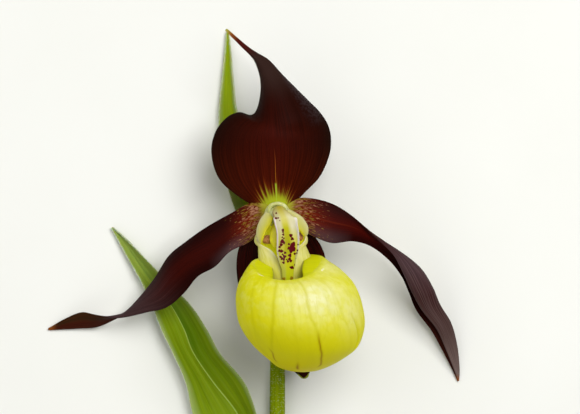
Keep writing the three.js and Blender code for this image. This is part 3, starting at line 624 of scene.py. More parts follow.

# ---- Petals ----
# The two petals: long ribbons that drop outwards and twist once. Their bases are flecked with cream
# where the colour breaks up round the column, and their backs are greyer, partly with a painted sheen.
LEFT_PETAL_ROWS = [
    [[-2.2, 20.2, 16.6], [-1.5, 18, 16.6], [-2.2, 15.8, 16.6]],
    [[-5.8, 20.3, 17.4], [-5.4, 16.4, 17.1], [-5.6, 12.4, 17]],
    [[-10, 18.1, 16.4], [-9.5, 14, 16.8], [-10, 10.1, 16.4]],
    [[-15.1, 15.2, 14.8], [-14.1, 10.6, 15.8], [-13.1, 7, 15]],
    [[-19.2, 12.4, 12.6], [-18.3, 8.3, 14.2], [-16.8, 4.9, 13.4]],
    [[-23, 9.3, 10.1], [-22, 5.2, 12.1], [-19.8, 1.3, 11.7]],
    [[-26, 4.5, 7.8], [-25.2, 1.5, 10], [-23.4, -1.7, 10.4]],
    [[-29.3, 0.3, 5.8], [-28.9, -0.9, 7.6], [-27.7, -2.8, 9]],
    [[-32.3, -2.8, 4.5], [-32.2, -3, 5.7], [-31.9, -3.8, 7]],
    [[-35.3, -4.75, 2.8], [-35.3, -3.85, 4.1], [-35.3, -4.1, 5.5]],
    [[-38.6, -6.1, 1.5], [-38.8, -4.5, 3], [-38.8, -3.4, 4]],
    [[-41.9, -6.4, 0.9], [-42, -4.6, 2], [-41.8, -2.9, 2.6]],
    [[-45.5, -6.6, 0.5], [-45.6, -5.4, 1], [-45.4, -4.3, 1.3]],
    [[-48.9, -6.8, 0.3], [-49, -6.5, 0.35], [-48.9, -6.3, 0.35]],
]
RIGHT_PETAL_ROWS = [
    [[2.2, 15.8, 16.6], [1.5, 18, 16.6], [2.2, 20.2, 16.6]],
    [[6.3, 13.9, 16.6], [5.7, 17.9, 16.9], [5.3, 21.5, 16.8]],
    [[11.2, 12, 16], [11.2, 16.4, 16.6], [10.9, 20.5, 16.2]],
    [[15.7, 12.3, 14.6], [16.1, 15.2, 15.2], [15.8, 17.6, 15.6]],
    [[19.7, 11.2, 12.4], [20.3, 12.9, 12.8], [20, 13.7, 14.9]],
    [[23.6, 8.2, 10], [25.4, 10.2, 11.6], [24.2, 9.6, 13.7]],
    [[26.2, 4.8, 8.2], [30, 6.6, 9.8], [26.6, 5.4, 11.9]],
    [[27.9, 1.2, 6.8], [32.6, 2.6, 8], [28.3, 1.6, 10.2]],
    [[29.6, -2.6, 5], [34.4, -1.4, 6], [30.4, -2.2, 8]],
    [[32.7, -6.8, 3.4], [36.8, -5.4, 4], [33.7, -6.4, 5.9]],
    [[34.9, -10.7, 2], [38.1, -10.2, 2.4], [35.7, -10.6, 3.8]],
    [[36.9, -14.5, 0.9], [38.6, -14.5, 1.1], [37.4, -14.6, 2]],
    [[38.4, -17.7, 0.35], [38.7, -17.6, 0.35], [38.5, -17.4, 0.5]],
]
PETAL_VEINS = 11
PETAL_WAVE = 0.12  # how far the margins wave up and down
PETAL_CREASE = 0.85  # how sharply the right petal folds over
PETAL_FOLD = (0.6, 0.78)  # the shares of its length where that fold sharpens


def petal_skin(name, lower_side, rib_share, middle, edge, vein_and_sheen, outer_start, outer, far_edge, far_share):
    """Satin petal: dark maroon with a redder middle and a painted red glow of light through its base,
    broken up into cream flecks at its base and greyed on its lower side there by a painted sheen. From
    outer_start on it has fine veins and its outer colours, partly covered by another colour on its far
    edge; the vein colour and the greyer outer colours are partly a painted sheen."""
    material = blank(name)
    across, along, beside = places(material)
    fibres = streaks(material, 70, 5)
    red = add(material, "ValToRGB", [beside], [(0.12, middle), (0.7, edge)])
    base_backlit_glow = add(material, "ValToRGB", [beside], [(0.2, "#6c1c08"), (0.9, "#521206")])
    grain = add(material, "MapRange", [fibres, 0.38, 0.6, 0.4, 0])
    veins = add(material, "MapRange", [streaks(material, 56, 2, 3), 0.42, 0.64, 0, 0.7])
    outer_tone = add(material, "ValToRGB", [along], outer)
    outer_tone = coated(material, outer_tone, [(far_edge, (across, 0.4, 0.6, 0, far_share)), (vein_and_sheen, veins)])
    lower = add(material, "Math", [across, lower_side], operation="SUBTRACT")
    lower = add(material, "Math", [lower], operation="ABSOLUTE")
    lower_sheen_reach = add(material, "ValToRGB", [along],
                      [(0.06, "#000000"), (0.12, "#ffffff"), (0.16, "#ffffff"), (0.25, "#000000")])
    fleck_reach = add(material, "MapRange", [along, 0.06, 0.2, 0.4, 0.8])
    flecks = add(material, "Math", [streaks(material, 44, 60, 4), fleck_reach], operation="SUBTRACT")
    fleck_tint = add(material, "ValToRGB", [streaks(material, 14, 24, 0)],
                     [(0.35, "#8a7426"), (0.5, "#8e5e38"), (0.65, "#ac7e5e")])
    red = coated(material, red, [
        # a painted red glow of light through the base
        (base_backlit_glow, (along, 0.07, 0.19, 0.95, 0)),
        (outer_tone, (along, outer_start, outer_start + 0.22, 0, 0.9)),
        ("#160404", grain),
        ("#624a4e", (lower, 0.05, 0.45, 0.42, 0), lower_sheen_reach),  # painted grey sheen on the lower side near the base
        ("#74280e", (beside, 0.0, 0.09, rib_share, 0), (along, 0.16, 0.36, 1, 0)),  # the rib
        (fleck_tint, (flecks, 0.0, 0.1, 0, 0.7)),
        ("#9a9a28", (along, 0.015, 0.055, 0.9, 0)),  # the root
        ("#8a4c1c", (along, 0.95, 1.0, 0, 0.8)),  # the tip
    ])
    bump = add(material, "Bump", {"Strength": 0.4, "Distance": 0.0001, "Height": fibres})
    add(material, "OutputMaterial", [add(material, "BsdfPrincipled", {
        "Base Color": red, "Roughness": 0.48, "Specular IOR Level": 0.025, "Normal": bump})])
    return material


left_petal_skins = [
    petal_skin("satin left petal", lower_side=1, rib_share=0.0, middle="#360904", edge="#200402",
               vein_and_sheen="#523a3a", outer_start=0.34, outer=[(0.4, "#321816"), (0.56, "#3c2c2e")],
               far_edge="#2e1412", far_share=0.3),
    petal_skin("satin left petal back", lower_side=1, rib_share=0.0, middle="#34160f", edge="#2a0e0a",
               vein_and_sheen="#4a2210", outer_start=0.36, outer=[(0.6, "#3a120a"), (1, "#3e1408")],
               far_edge="#2a200c", far_share=0.9),
]
right_petal_skins = [
    petal_skin("satin right petal", lower_side=0, rib_share=0.24, middle="#420803", edge="#260402",
               vein_and_sheen="#44180e", outer_start=0.5, outer=[(0.6, "#2c0604"), (0.8, "#3a160e")],
               far_edge="#2c0604", far_share=0.6),
    # The back of the right petal greys towards its tip with a painted sheen.
    petal_skin("satin right petal back", lower_side=0, rib_share=0.3, middle="#3a1c1a", edge="#3a1a18",
               vein_and_sheen="#584644", outer_start=0.3,
               outer=[(0.45, "#524046"), (0.62, "#3e2020"), (0.78, "#54413c"), (0.95, "#84726b")],
               far_edge="#524046", far_share=0.0),
]

across, along = grid(across_steps=56, along_steps=220)
vein_wander = 0.02 * np.sin(8 * across + 9 * along)
petal_relief = raised_veins(PETAL_VEIN_HEIGHT / 3, across, PETAL_VEINS, vein_wander) * (1 - along)
petal_wave = np.sin(19 * along + 2 * across) * across**2 * (1 - along)
petal_relief = petal_relief + PETAL_WAVE * petal_wave
for side, rows, skins, crease in [("left", LEFT_PETAL_ROWS, left_petal_skins, 0.0),
                                  ("right", RIGHT_PETAL_ROWS, right_petal_skins, PETAL_CREASE)]:
    petal_points = blade_surface(rows, across, along, crease * ease(*PETAL_FOLD, along))
    petal = blade_piece("petal_" + side, petal_points, across, along, skins, PETAL_THICKNESS, petal_relief)
    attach(petal, "root")
    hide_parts("petal_" + side)

# ---- Lip ----
# The lip: an inflated pouch of waxy yellow tissue, hollow, with a round mouth whose rim is rolled in,
# furthest at its sides. Shallow grooves run down it, and its right side is creased.
POUCH_ROWS = [  # height at the back, hang of the front, middle and half width, middle and half depth
    [-14.9, 0, 5.3, 0.4, 24, 0.4],
    [-14.65, 0, 5.3, 2.7, 24.2, 2.9],
    [-13.8, 0, 5.3, 5.2, 24.6, 5.8],
    [-12.2, 0.1, 5.8, 7.65, 25.2, 8.2],
    [-9.9, 0.3, 6, 10.4, 25.9, 10.8],
    [-7.3, 0.4, 5.6, 12.1, 26.5, 12.7],
    [-4.4, 0.7, 5.1, 13.1, 26.9, 13.8],
    [-1.4, 1.1, 4.65, 13.2, 27, 14.1],
    [1.6, 1.6, 4.2, 12.85, 27, 13.9],
    [4.4, 2.4, 3.8, 11.9, 26.7, 12.9],
    [7, 3.6, 3.2, 10.1, 26.4, 11.6],
    [8.6, 4.5, 2.5, 8.5, 25.9, 10.2],
    [9.35, 4.9, 2.2, 7.6, 25.4, 9],
    [9.15, 5.3, 2.15, 6.7, 25.2, 8.1],
]
MOUTH_TILT = 0.6  # the mouth's right side stands above its middle by this, and its left side below
MOUTH_ROLL = (3.4, 2.6)  # how far its sides roll in, and down
ROLL_START = 0.92  # the place along where the rim starts to roll
ROLL_SIDES = (0.3, 0.95)  # how far to the side the roll starts, and where it is full
LINING_START = ROLL_START + 0.015
POUCH_WALL = 0.6
POUCH_LENGTH = 22  # about how far it is from its foot to its mouth
GROOVES = [  # places along, degrees round from the front there, and strength
    ([0.22, 0.29, 0.39, 0.48, 0.56, 0.64, 0.82, 0.95], [-58, -45, -33, -26.5, -24, -22, -19, -16], 0.9),
    ([0.17, 0.2, 0.23, 0.26, 0.32, 0.39, 0.46, 0.51, 0.59, 0.77, 0.95],
     [40, 31, 25, 21, 16, 14, 12.5, 9.5, 8.5, 10.8, 14], 0.7),
    ([0.3, 0.45, 0.72, 0.95], [-62, -49, -47, -40], 0.5),
    ([0.15, 0.3, 0.55, 0.8], [-18, -9, -6, -5], 0.35),
    ([0.3, 0.5, 0.75, 0.95], [60, 42, 36, 37], 0.35),
]
FAINT_GROOVES = [-66, -34, 3, 26, 58, -90, 95, -115, 120, -142, 146, -168, 172]  # degrees round
FAINT_STRENGTH = 0.22
GROOVE_WIDTH = 0.4
GROOVE_DEPTH = 0.05
GROOVE_FAN = 5  # how much the faint grooves at the front spread apart on their way down
FAN_START = 0.74  # the place along where they start to spread
GROOVE_WANDER = 1.5  # degrees to each side
GROOVE_LIMIT = 175  # no faint groove runs further round to the back than this
FOLD = ([0.37, 0.41, 0.45, 0.49, 0.53], [70.5, 65.5, 61.5, 57, 52.8])  # the crease, as for a groove
FOLD_WIDTH = 0.45
FOLD_DEPTH = 0.5
STAINS = [  # places along, degrees round there, and the stain's half width
    ([0.19, 0.21, 0.25, 0.32, 0.39], [33.5, 29, 22.4, 16, 14], 0.2),
    ([0.24, 0.29], [-54, -45], 0.2),
    ([0.15, 0.18], [-13, -12], 0.3),
]
STAIN_STRENGTH = 0.85
STAIN_LEAD = 0.04  # a stain fades in over this share of the length before its first place
STAIN_TAIL = (0.03, 0.06)  # and out from this much before its last place to this much after it
SCARS = [  # place along, from and to degrees round, and half width
    (0.885, -50.5, -46, 0.25),
    (0.895, -44, -42, 0.25),
    (0.87, 58, 61, 0.3),
]
PAINTED_HIGHLIGHTS = [  # the painted highlights, pale areas that stand for the soft reflection of the light: middle along and round, half sizes, and strength
    (0.65, 17, 0.14, 33, 0.9),
    (0.56, 52, 0.13, 20, 0.45),
    (0.84, 72, 0.08, 30, 0.4),
]


def pouch_line(turn, along, degrees, width):
    """1 on a line that runs down the pouch at these degrees round, and 0 beside it."""
    half_width = spline(POUCH_ROWS, along.ravel())[:, 3:4]
    gap = np.abs((turn - degrees + 180) % 360 - 180)
    return np.exp(-(np.radians(gap) * half_width / width) ** 2)


def pouch_grooves(turn, along):
    """How much of a groove and of the crease there is at each place on the pouch, from 0 to 1."""
    groove = 0
    for places_along, degrees, strength in GROOVES:
        clear = pouch_line(turn, along, np.interp(along, places_along, degrees), GROOVE_WIDTH)
        groove = np.maximum(groove, strength * clear)
    spread = np.maximum(FAN_START - along, 0) ** 2
    for mouth_turn in FAINT_GROOVES:
        fan = 1 + GROOVE_FAN * spread * max(0, 1 - (mouth_turn / 90) ** 2)
        degrees = mouth_turn * fan + GROOVE_WANDER * np.sin(9 * along + mouth_turn)
        faint = pouch_line(turn, along, np.clip(degrees, -GROOVE_LIMIT, GROOVE_LIMIT), GROOVE_WIDTH)
        groove = np.maximum(groove, FAINT_STRENGTH * faint)
    # The grooves fade out at the foot, and grow faint at the rim.
    groove = groove * ease(0.03, 0.2, along) * (1 - 0.7 * ease(0.85, 0.97, along))
    fold = pouch_line(turn, along, np.interp(along, *FOLD), FOLD_WIDTH)
    return groove, fold * ease(0.28, 0.36, along) * ease(0.57, 0.44, along)


def pouch_surface(turn, along):
    """Points on the pouch. Turn is degrees round, 0 at the front and 90 at the right, and along runs from
    its foot to its mouth."""
    height, hang, middle_x, half_x, middle_z, half_z = spline(POUCH_ROWS, along.ravel()).T[..., None]
    groove, fold = pouch_grooves(turn, along)
    dent = GROOVE_DEPTH * groove + FOLD_DEPTH * fold
    right = np.sin(np.radians(turn))
    front = np.cos(np.radians(turn))
    roll = ease(ROLL_START, 1.0, along) * ease(*ROLL_SIDES, np.abs(right))
    return np.stack([
        middle_x + (half_x - dent - MOUTH_ROLL[0] * roll) * right,
        height - hang * ((1 + front) / 2) ** 2 + MOUTH_TILT * along**4 * right,
        middle_z + (half_z - dent) * front - MOUTH_ROLL[1] * roll,
    ], axis=-1)


# Waxy lip: thick juicy yellow tissue under a thin film of wax, so light spreads inside it. It is
# deeper yellow in its grooves and towards its foot, and stained brown where a groove was bruised.
# A painted highlight makes it pale in broad patches on its upper front.
lip_wax = blank("waxy yellow lip")
lip_along = places(lip_wax)[1]
painted_highlight_mark, groove_mark, stain_mark, scar_mark = [
    add(lip_wax, "Attribute", attribute_name=name).outputs["Fac"]
    for name in ("painted_highlight", "groove", "stain", "scar")
]
lip_yellow = add(lip_wax, "ValToRGB", [lip_along], [
    (0.05, "#c6b700"), (0.3, "#d0c800"), (0.55, "#d6d000"), (0.85, "#ceca08"), (0.93, "#caca00")])
lip_mottle = add(lip_wax, "MapRange", [blotches(lip_wax, 2, 5), 0.45, 0.62, 0, 0.4])
lip_pale = add(lip_wax, "MapRange", [blotches(lip_wax, 1.6, 4), 0.36, 0.6, 0.62, 1.0])
lip_veins = add(lip_wax, "Math", [streaks(lip_wax, 36, 4), 0.5], operation="SUBTRACT")
lip_veins = add(lip_wax, "Math", [lip_veins], operation="ABSOLUTE")
lip_veins = add(lip_wax, "MapRange", [lip_veins, 0.0, 0.04, 0.24, 0])
lip_yellow = coated(lip_wax, lip_yellow, [
    ("#dcd868", lip_mottle, (lip_along, 0.35, 0.7)),
    # a painted highlight: pale blotchy patches that stand for the soft reflection of the light
    ("#e4e0b4", lip_pale, painted_highlight_mark),
    ("#c4bc08", lip_veins),
    ("#c2bc00", groove_mark, 0.7),
    ("#845000", stain_mark),
    ("#f3ece6", scar_mark),
])
lip_bump = add(lip_wax, "Bump", {"Strength": 0.2, "Distance": 0.0001, "Height": streaks(lip_wax, 110, 4)})
lip_depth = add(lip_wax, "Math", [stain_mark, -0.5, 0.5], operation="MULTIPLY_ADD")  # less in a stain
add(lip_wax, "OutputMaterial", [add(lip_wax, "BsdfPrincipled", {
    "Base Color": lip_yellow, "Roughness": 0.5, "Specular IOR Level": 0.03, "Subsurface Weight": lip_depth,
    "Subsurface Radius": (1.0, 0.8, 0.1), "Subsurface Scale": 0.002, "Normal": lip_bump})])

# Lip lining: the inner face of the same tissue, with no wax, bright with the light that comes through.
lip_lining = blank("yellow lip lining")
lining_yellow = add(lip_lining, "ValToRGB", [streaks(lip_lining, 80, 5)],
                    [(0.3, "#cccd00"), (0.7, "#d8d800")])
add(lip_lining, "OutputMaterial", [add(lip_lining, "BsdfPrincipled", {
    "Base Color": lining_yellow, "Roughness": 0.6, "Specular IOR Level": 0.1,
    "Subsurface Weight": 0.6, "Subsurface Radius": (1.0, 0.9, 0.1), "Subsurface Scale": 0.003})])

POUCH_SIDES = 300
POUCH_STEPS = 150
LINING_STEPS = 50
SMALL_TURN = 0.3  # degrees, to feel which way the surface faces
turn = np.linspace(-180, 180, POUCH_SIDES, endpoint=False)[None, :]


def pouch_rings(steps, depth):
    """Rings from the foot to the mouth, sunk to a depth below the pouch's outer face. They rise to that
    face at the mouth."""
    along = np.linspace(0, 1, steps + 1)[:, None]
    surface = pouch_surface(turn, along)
    over_turn = pouch_surface(turn + SMALL_TURN, along) - pouch_surface(turn - SMALL_TURN, along)
    outward = unit(np.cross(np.gradient(surface, axis=0), over_turn))
    outward *= np.sign(outward[steps // 2, POUCH_SIDES // 2, 2])
    return along, surface - outward * depth * np.sqrt(1 - along**60)[..., None]


outside_along, outside = pouch_rings(POUCH_STEPS, 0)
inside_along, inside = pouch_rings(LINING_STEPS, POUCH_WALL)
pouch_along = np.append(outside_along, inside_along[-2::-1])
pouch_around = np.linspace(0, 1, POUCH_SIDES + 1)
lined = np.arange(len(pouch_along) - 1)[:, None] > LINING_START * POUCH_STEPS
pouch = closed_piece("pouch", np.vstack([outside, inside[-2::-1]]), pouch_around, pouch_along,
                     [lip_wax, lip_lining], zone=lined)


def mark(piece, name, values):
    """Keeps a number for each point of the piece, which its material reads."""
    padded = np.append(values.ravel(), np.zeros(len(piece.data.vertices) - values.size))
    piece.data.attributes.new(name, "FLOAT", "POINT").data.foreach_set("value", padded)


groove, fold = pouch_grooves(turn, outside_along)
mark(pouch, "groove", np.maximum(groove, fold))
stain = np.zeros(groove.shape)
for places_along, degrees, width in STAINS:
    shown = ease(places_along[0] - STAIN_LEAD, places_along[0], outside_along)
    shown = shown * ease(places_along[-1] + STAIN_TAIL[1], places_along[-1] - STAIN_TAIL[0], outside_along)
    stained = pouch_line(turn, outside_along, np.interp(outside_along, places_along, degrees), width)
    stain = np.maximum(stain, STAIN_STRENGTH * shown * stained)
mark(pouch, "stain", stain)
scar = np.zeros(groove.shape)
for place, from_turn, to_turn, width in SCARS:
    reach = np.abs(outside_along - place) * POUCH_LENGTH / width
    scarred = pouch_line(turn, outside_along, np.clip(turn, from_turn, to_turn), width)
    scar = np.maximum(scar, ease(1, 0.4, reach) * scarred)
# A scar is broken up, not one smooth line.
mark(pouch, "scar", scar * (np.sin(3 * turn + 40 * outside_along) > -0.2))
# Painted highlights: broad pale patches on the upper front that stand for the soft reflection of the light.
painted_highlight = np.zeros(groove.shape)
for place, middle_turn, half_along, half_turn, strength in PAINTED_HIGHLIGHTS:
    away = ((outside_along - place) / half_along) ** 2 + ((turn - middle_turn) / half_turn) ** 2
    painted_highlight = np.maximum(painted_highlight, strength * np.exp(-away))
mark(pouch, "painted_highlight", painted_highlight)
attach(pouch, "root")
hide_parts("lip")

# The claw of the lip: a channel from inside the mouth up to the column, its edges rolled in. It is
# the same tissue as the pouch, but thinner, paler and dull.
CLAW_ROWS = [  # as for the pouch, and how far it reaches round from the back, in degrees
    [5.2, 1.5, 2, 3.4, 21.2, 3.05, 172],
    [7.5, 1.8, 1.8, 4.6, 21, 3.1, 171],
    [9.4, 1.8, 1.6, 5.2, 20.75, 2.95, 170],
    [10.9, 1.8, 1.25, 5, 20.45, 2.62, 164],
    [12.4, 1.9, 0.9, 4.75, 20.2, 2.25, 150],
    [13.3, 2, 0.75, 5.3, 20, 1.95, 128],
    [14.4, 2.1, 0.75, 5.15, 19.9, 1.8, 105],
    [15.2, 1.8, 0.6, 4.2, 20, 1.5, 85],
    [16.6, 1.0, 0.3, 2.2, 19, 0.9, 70],
]

# Claw lining: the inner face of the channel. Its wall is so thin that daylight comes through, which a
# faint glow stands for.
claw_lining = blank("thin claw lining")
channel_yellow = add(claw_lining, "ValToRGB", [streaks(claw_lining, 40, 5)],
                     [(0.3, "#e0dc20"), (0.7, "#ece850")])
add(claw_lining, "OutputMaterial", [add(claw_lining, "BsdfPrincipled", {
    "Base Color": channel_yellow, "Roughness": 0.6, "Specular IOR Level": 0.1,
    "Subsurface Weight": 0.6, "Subsurface Radius": (1.0, 0.9, 0.1), "Subsurface Scale": 0.002,
    "Emission Color": "#c8cc10", "Emission Strength": 0.25})])

# Claw skin: the outer face, streaked with cream, with a pale rim where its edges roll in.
claw_cream = blank("pale yellow claw")
claw_along, claw_beside = places(claw_cream)[1:]
claw_yellow = add(claw_cream, "ValToRGB", [claw_beside],
                  [(0.3, "#bab726"), (0.7, "#c0bb50"), (0.93, "#cac572")])
claw_streak = add(claw_cream, "MapRange", [streaks(claw_cream, 50, 4), 0.4, 0.65, 0, 0.4])
claw_yellow = coated(claw_cream, claw_yellow, [
    ("#dedaa4", claw_streak),
    ("#cbc512", (claw_along, 0.09, 0.4, 0.6, 0)),  # the lower end
    ("#ece6c4", (claw_beside, 0.94, 0.985, 0, 0.9), (claw_along, 0.31, 0.44)),  # the rim
])
add(claw_cream, "OutputMaterial", [add(claw_cream, "BsdfPrincipled", {
    "Base Color": claw_yellow, "Roughness": 0.5, "Specular IOR Level": 0.15,
    "Subsurface Weight": 0.3, "Subsurface Radius": (1.0, 0.8, 0.3), "Subsurface Scale": 0.001})])

across, along = grid(across_steps=80, along_steps=90)
height, hang, middle_x, half_x, middle_z, half_z, reach = spline(CLAW_ROWS, along.ravel()).T[..., None]
claw_turn = np.radians(reach) * across[..., 0]
claw_points = np.stack([middle_x + half_x * np.sin(claw_turn), height - hang * (1 - np.cos(claw_turn)) / 2,
                        middle_z - half_z * np.cos(claw_turn)], axis=-1)
claw = blade_piece("lip_claw", claw_points, across, along, [claw_lining, claw_cream], POUCH_WALL)
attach(claw, "root")
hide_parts("lip")

# ---- Column ----
# The column: a short fleshy knob with a pale collar round its top, the stigma under its front, and a
# broad hooded arm curving down at each side.
COLUMN_TRUNK = [[0, 18, 14.9], [-0.1, 18.1, 16.2], [-0.1, 18.2, 17.5], [-0.1, 18.2, 19.5], [0, 17.9, 21.5],
                [0.3, 18.1, 22.9], [0.6, 18.6, 24.2]]
TRUNK_RADII = [2.1, 1.85, 1.75, 2.1, 2.7, 1.5, 0.8]
COLLAR = [[-1.9, 18.2, 22.1], [-1.75, 18.8, 22.3], [-1.5, 19.6, 22.4], [-0.9, 20, 22.5], [0, 20.2, 22.6],
          [1.05, 20, 22.5], [1.65, 19.5, 22.4], [1.9, 18.8, 22.2]]
COLLAR_RADII = [0.3, 0.45, 0.48, 0.42, 0.42, 0.42, 0.42, 0.3]
STIGMA_ROWS = [
    [[-0.6, 17.2, 21.9], [0.7, 17.3, 22.4], [2, 17.2, 21.9]],
    [[-1.2, 15.4, 22.1], [0.9, 15.4, 22.9], [3, 15.4, 22.1]],
    [[-1.6, 13.6, 22.3], [1.1, 13.5, 23.1], [3.6, 13.6, 22.4]],
    [[-1.5, 12.2, 22.4], [1.2, 11.9, 23.1], [3.5, 12.2, 22.5]],
    [[-0.6, 11, 22.7], [1.2, 10.7, 23], [2.8, 11, 22.7]],
]
LEFT_ARM_ROWS = [
    [[-1.4, 19.3, 21.6], [-0.8, 18.7, 22.2], [-0.2, 17.8, 22.4]],
    [[-2.9, 17.8, 21.8], [-1.9, 17.4, 22.8], [-0.9, 16.9, 23.1]],
    [[-3.8, 16.3, 21.7], [-2.6, 16.1, 22.9], [-1.3, 15.9, 23.2]],
    [[-4.25, 14.7, 21.5], [-3.3, 14.6, 22.7], [-2.2, 14.6, 23.1]],
    [[-4.2, 13.2, 21.8], [-3.5, 13.2, 22.7], [-2.8, 13.2, 23]],
    [[-3.6, 12, 22.4], [-3.4, 11.95, 22.6], [-3.2, 12, 22.7]],
]
RIGHT_ARM_ROWS = [
    [[2, 19.2, 21.6], [1.6, 18.5, 22.2], [1.2, 17.6, 22.4]],
    [[4, 18.1, 21.8], [3.4, 17.2, 22.9], [2.7, 16.4, 23]],
    [[5.3, 17.1, 21.8], [4.5, 16.2, 22.9], [3.8, 15.4, 23.1]],
    [[6.25, 15.5, 21.7], [5.4, 15, 22.7], [4.6, 14.5, 23]],
    [[6.25, 14.2, 21.7], [5.7, 14, 22.5], [5.1, 13.8, 22.7]],
    [[5.95, 13.5, 21.9], [5.8, 13.45, 22], [5.65, 13.45, 22.1]],
]
ARM_THICKNESS = 0.6

# Column wax: pale yellow-green flesh, waxy and a little see-through at its edges.
column_cream = blank("waxy pale column")
column_green = add(column_cream, "ValToRGB", [blotches(column_cream, 1.2, 3)],
                   [(0.35, "#a9ab5c"), (0.65, "#c6c98e")])
add(column_cream, "OutputMaterial", [add(column_cream, "BsdfPrincipled", {
    "Base Color": column_green, "Roughness": 0.45, "Specular IOR Level": 0.25,
    "Subsurface Weight": 0.6, "Subsurface Radius": (1.0, 0.9, 0.4), "Subsurface Scale": 0.001})])

# Arm wax: the same flesh, cream along its outer edge and deep yellow-green inside.
arm_wax = blank("waxy column arm")
arm_green = add(arm_wax, "ValToRGB", [places(arm_wax)[0]],
                [(0.15, "#c4be84"), (0.5, "#b8b45c"), (0.85, "#c0b814")])
add(arm_wax, "OutputMaterial", [add(arm_wax, "BsdfPrincipled", {
    "Base Color": arm_green, "Roughness": 0.42, "Specular IOR Level": 0.25,
    "Subsurface Weight": 0.35, "Subsurface Radius": (1.0, 0.9, 0.4), "Subsurface Scale": 0.001})])

# Inner flesh: the wet, deep yellow stigma, painted bright to lift the shade it lies in under the staminode.
stigma_wet = blank("wet inner flesh")
stigma_green = add(stigma_wet, "ValToRGB", [blotches(stigma_wet, 1, 2)],
                   [(0.35, "#d2c818"), (0.65, "#dcd42c")])
add(stigma_wet, "OutputMaterial", [add(stigma_wet, "BsdfPrincipled", {
    "Base Color": stigma_green, "Roughness": 0.3, "Specular IOR Level": 0.3,
    "Subsurface Weight": 0.4, "Subsurface Radius": (1.0, 0.9, 0.1), "Subsurface Scale": 0.001})])

for name, path, radii, aside in [("column_trunk", COLUMN_TRUNK, TRUNK_RADII, (1, 0, 0)),
                                 ("column_collar", COLLAR, COLLAR_RADII, (0, 0, 1))]:
    knob_rings = limb_rings(path, radii, sides=48, steps=60, across=aside)
    knob = limb_piece(name, knob_rings, [column_cream])
    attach(knob, "root")
    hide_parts("column")

across, along = grid(across_steps=32, along_steps=60)
for name, rows, wax in [("column_arm_left", LEFT_ARM_ROWS, arm_wax),
                        ("column_arm_right", RIGHT_ARM_ROWS, arm_wax),
                        ("stigma", STIGMA_ROWS, stigma_wet)]:
    plate = blade_piece(name, blade_surface(rows, across, along), across, along, [wax, wax], ARM_THICKNESS)
    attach(plate, "root")
    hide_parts("column")

# ---- Staminode ----
# The staminode: a narrow waxy shield that hangs from the column over the mouth, with thin turned-up
# margins and crimson spots scattered down its yellow middle.
STAMINODE_ROWS = [
    [[-0.6, 19.2, 23.8], [0.3, 19.6, 23.9], [1.4, 19.2, 23.8]],
    [[-1, 18.4, 24.2], [0.6, 18.6, 24.8], [2.3, 18.3, 24.2]],
    [[-0.8, 17.5, 24.8], [1.1, 17.7, 25.1], [3.2, 17.6, 24.7]],
    [[-0.85, 16.8, 25.2], [1.35, 16.8, 25.1], [4.15, 16.9, 25.2]],
    [[-0.8, 15.9, 25.5], [1.6, 15.8, 25.05], [4.45, 16, 25.5]],
    [[-0.45, 14.2, 25.6], [1.9, 14.1, 25], [4.75, 14.4, 25.6]],
    [[-0.4, 12.3, 25.6], [2.1, 12.2, 25], [4.85, 12.4, 25.6]],
    [[-0.4, 10.2, 25.6], [2.1, 10.1, 25], [4.6, 10.3, 25.6]],
    [[0.05, 8.4, 25.5], [2.1, 8.2, 25.1], [4, 8.4, 25.5]],
    [[0.8, 6.6, 25.3], [2.15, 6.4, 25.1], [3.5, 6.6, 25.3]],
    [[1, 4.5, 25.2], [2.15, 4.2, 25.1], [3.3, 4.5, 25.2]],
]
STAMINODE_THICKNESS = 0.5
STAMINODE_FLANGE = 0.7  # how far its margins turn up
STAMINODE_SPOTS = [  # x, y and radius
    (-0.25, 18.25, 0.15), (-0.3, 17.2, 0.2), (0.15, 17.25, 0.15), (0.5, 16.7, 0.1), (-0.35, 13.95, 0.2),
    (1.16, 14.75, 0.22), (1.17, 14.35, 0.18), (1.22, 13.8, 0.2),
    (1.04, 13.2, 0.15), (1.35, 13.0, 0.15), (1.04, 12.35, 0.36), (1.38, 12.0, 0.2), (0.8, 11.65, 0.27),
    (0.45, 11.2, 0.2), (0.41, 10.4, 0.22), (0.9, 10.35, 0.27), (1.6, 10.0, 0.21), (1.1, 9.65, 0.16),
    (1.48, 9.2, 0.29), (0.65, 9.15, 0.2), (0.98, 8.77, 0.24), (1.35, 8.57, 0.21), (1.28, 7.95, 0.22),
    (1.94, 8.6, 0.13), (2.2, 8.2, 0.21), (2.54, 8.7, 0.27), (2.8, 8.3, 0.24), (2.6, 9.45, 0.29),
    (2.8, 13.6, 0.29), (3.1, 12.9, 0.27), (2.4, 11.8, 0.19), (3.3, 11.8, 0.38), (3.05, 11.1, 0.48),
    (2.4, 10.95, 0.27), (2.85, 10.4, 0.36), (3.4, 10.7, 0.33), (3.6, 9.8, 0.2), (4.15, 9.9, 0.17),
    (4.2, 10.5, 0.17), (4.1, 8.8, 0.19), (4.3, 11.7, 0.13), (3.7, 7.4, 0.2), (3.1, 6.9, 0.27),
    (2.73, 6.97, 0.17), (-0.15, 9.7, 0.15), (-0.05, 8.7, 0.15),
]
FOOT_MARKS = [(1.35, 4.6, 0.25), (3.0, 4.7, 0.3)]
SPOT_EDGE = (1.4, 1.15)  # where a spot ends and where it is full, in its radii
SPOT_RAGGED = 0.15  # how far a spot's edge strays, as a share of its radius

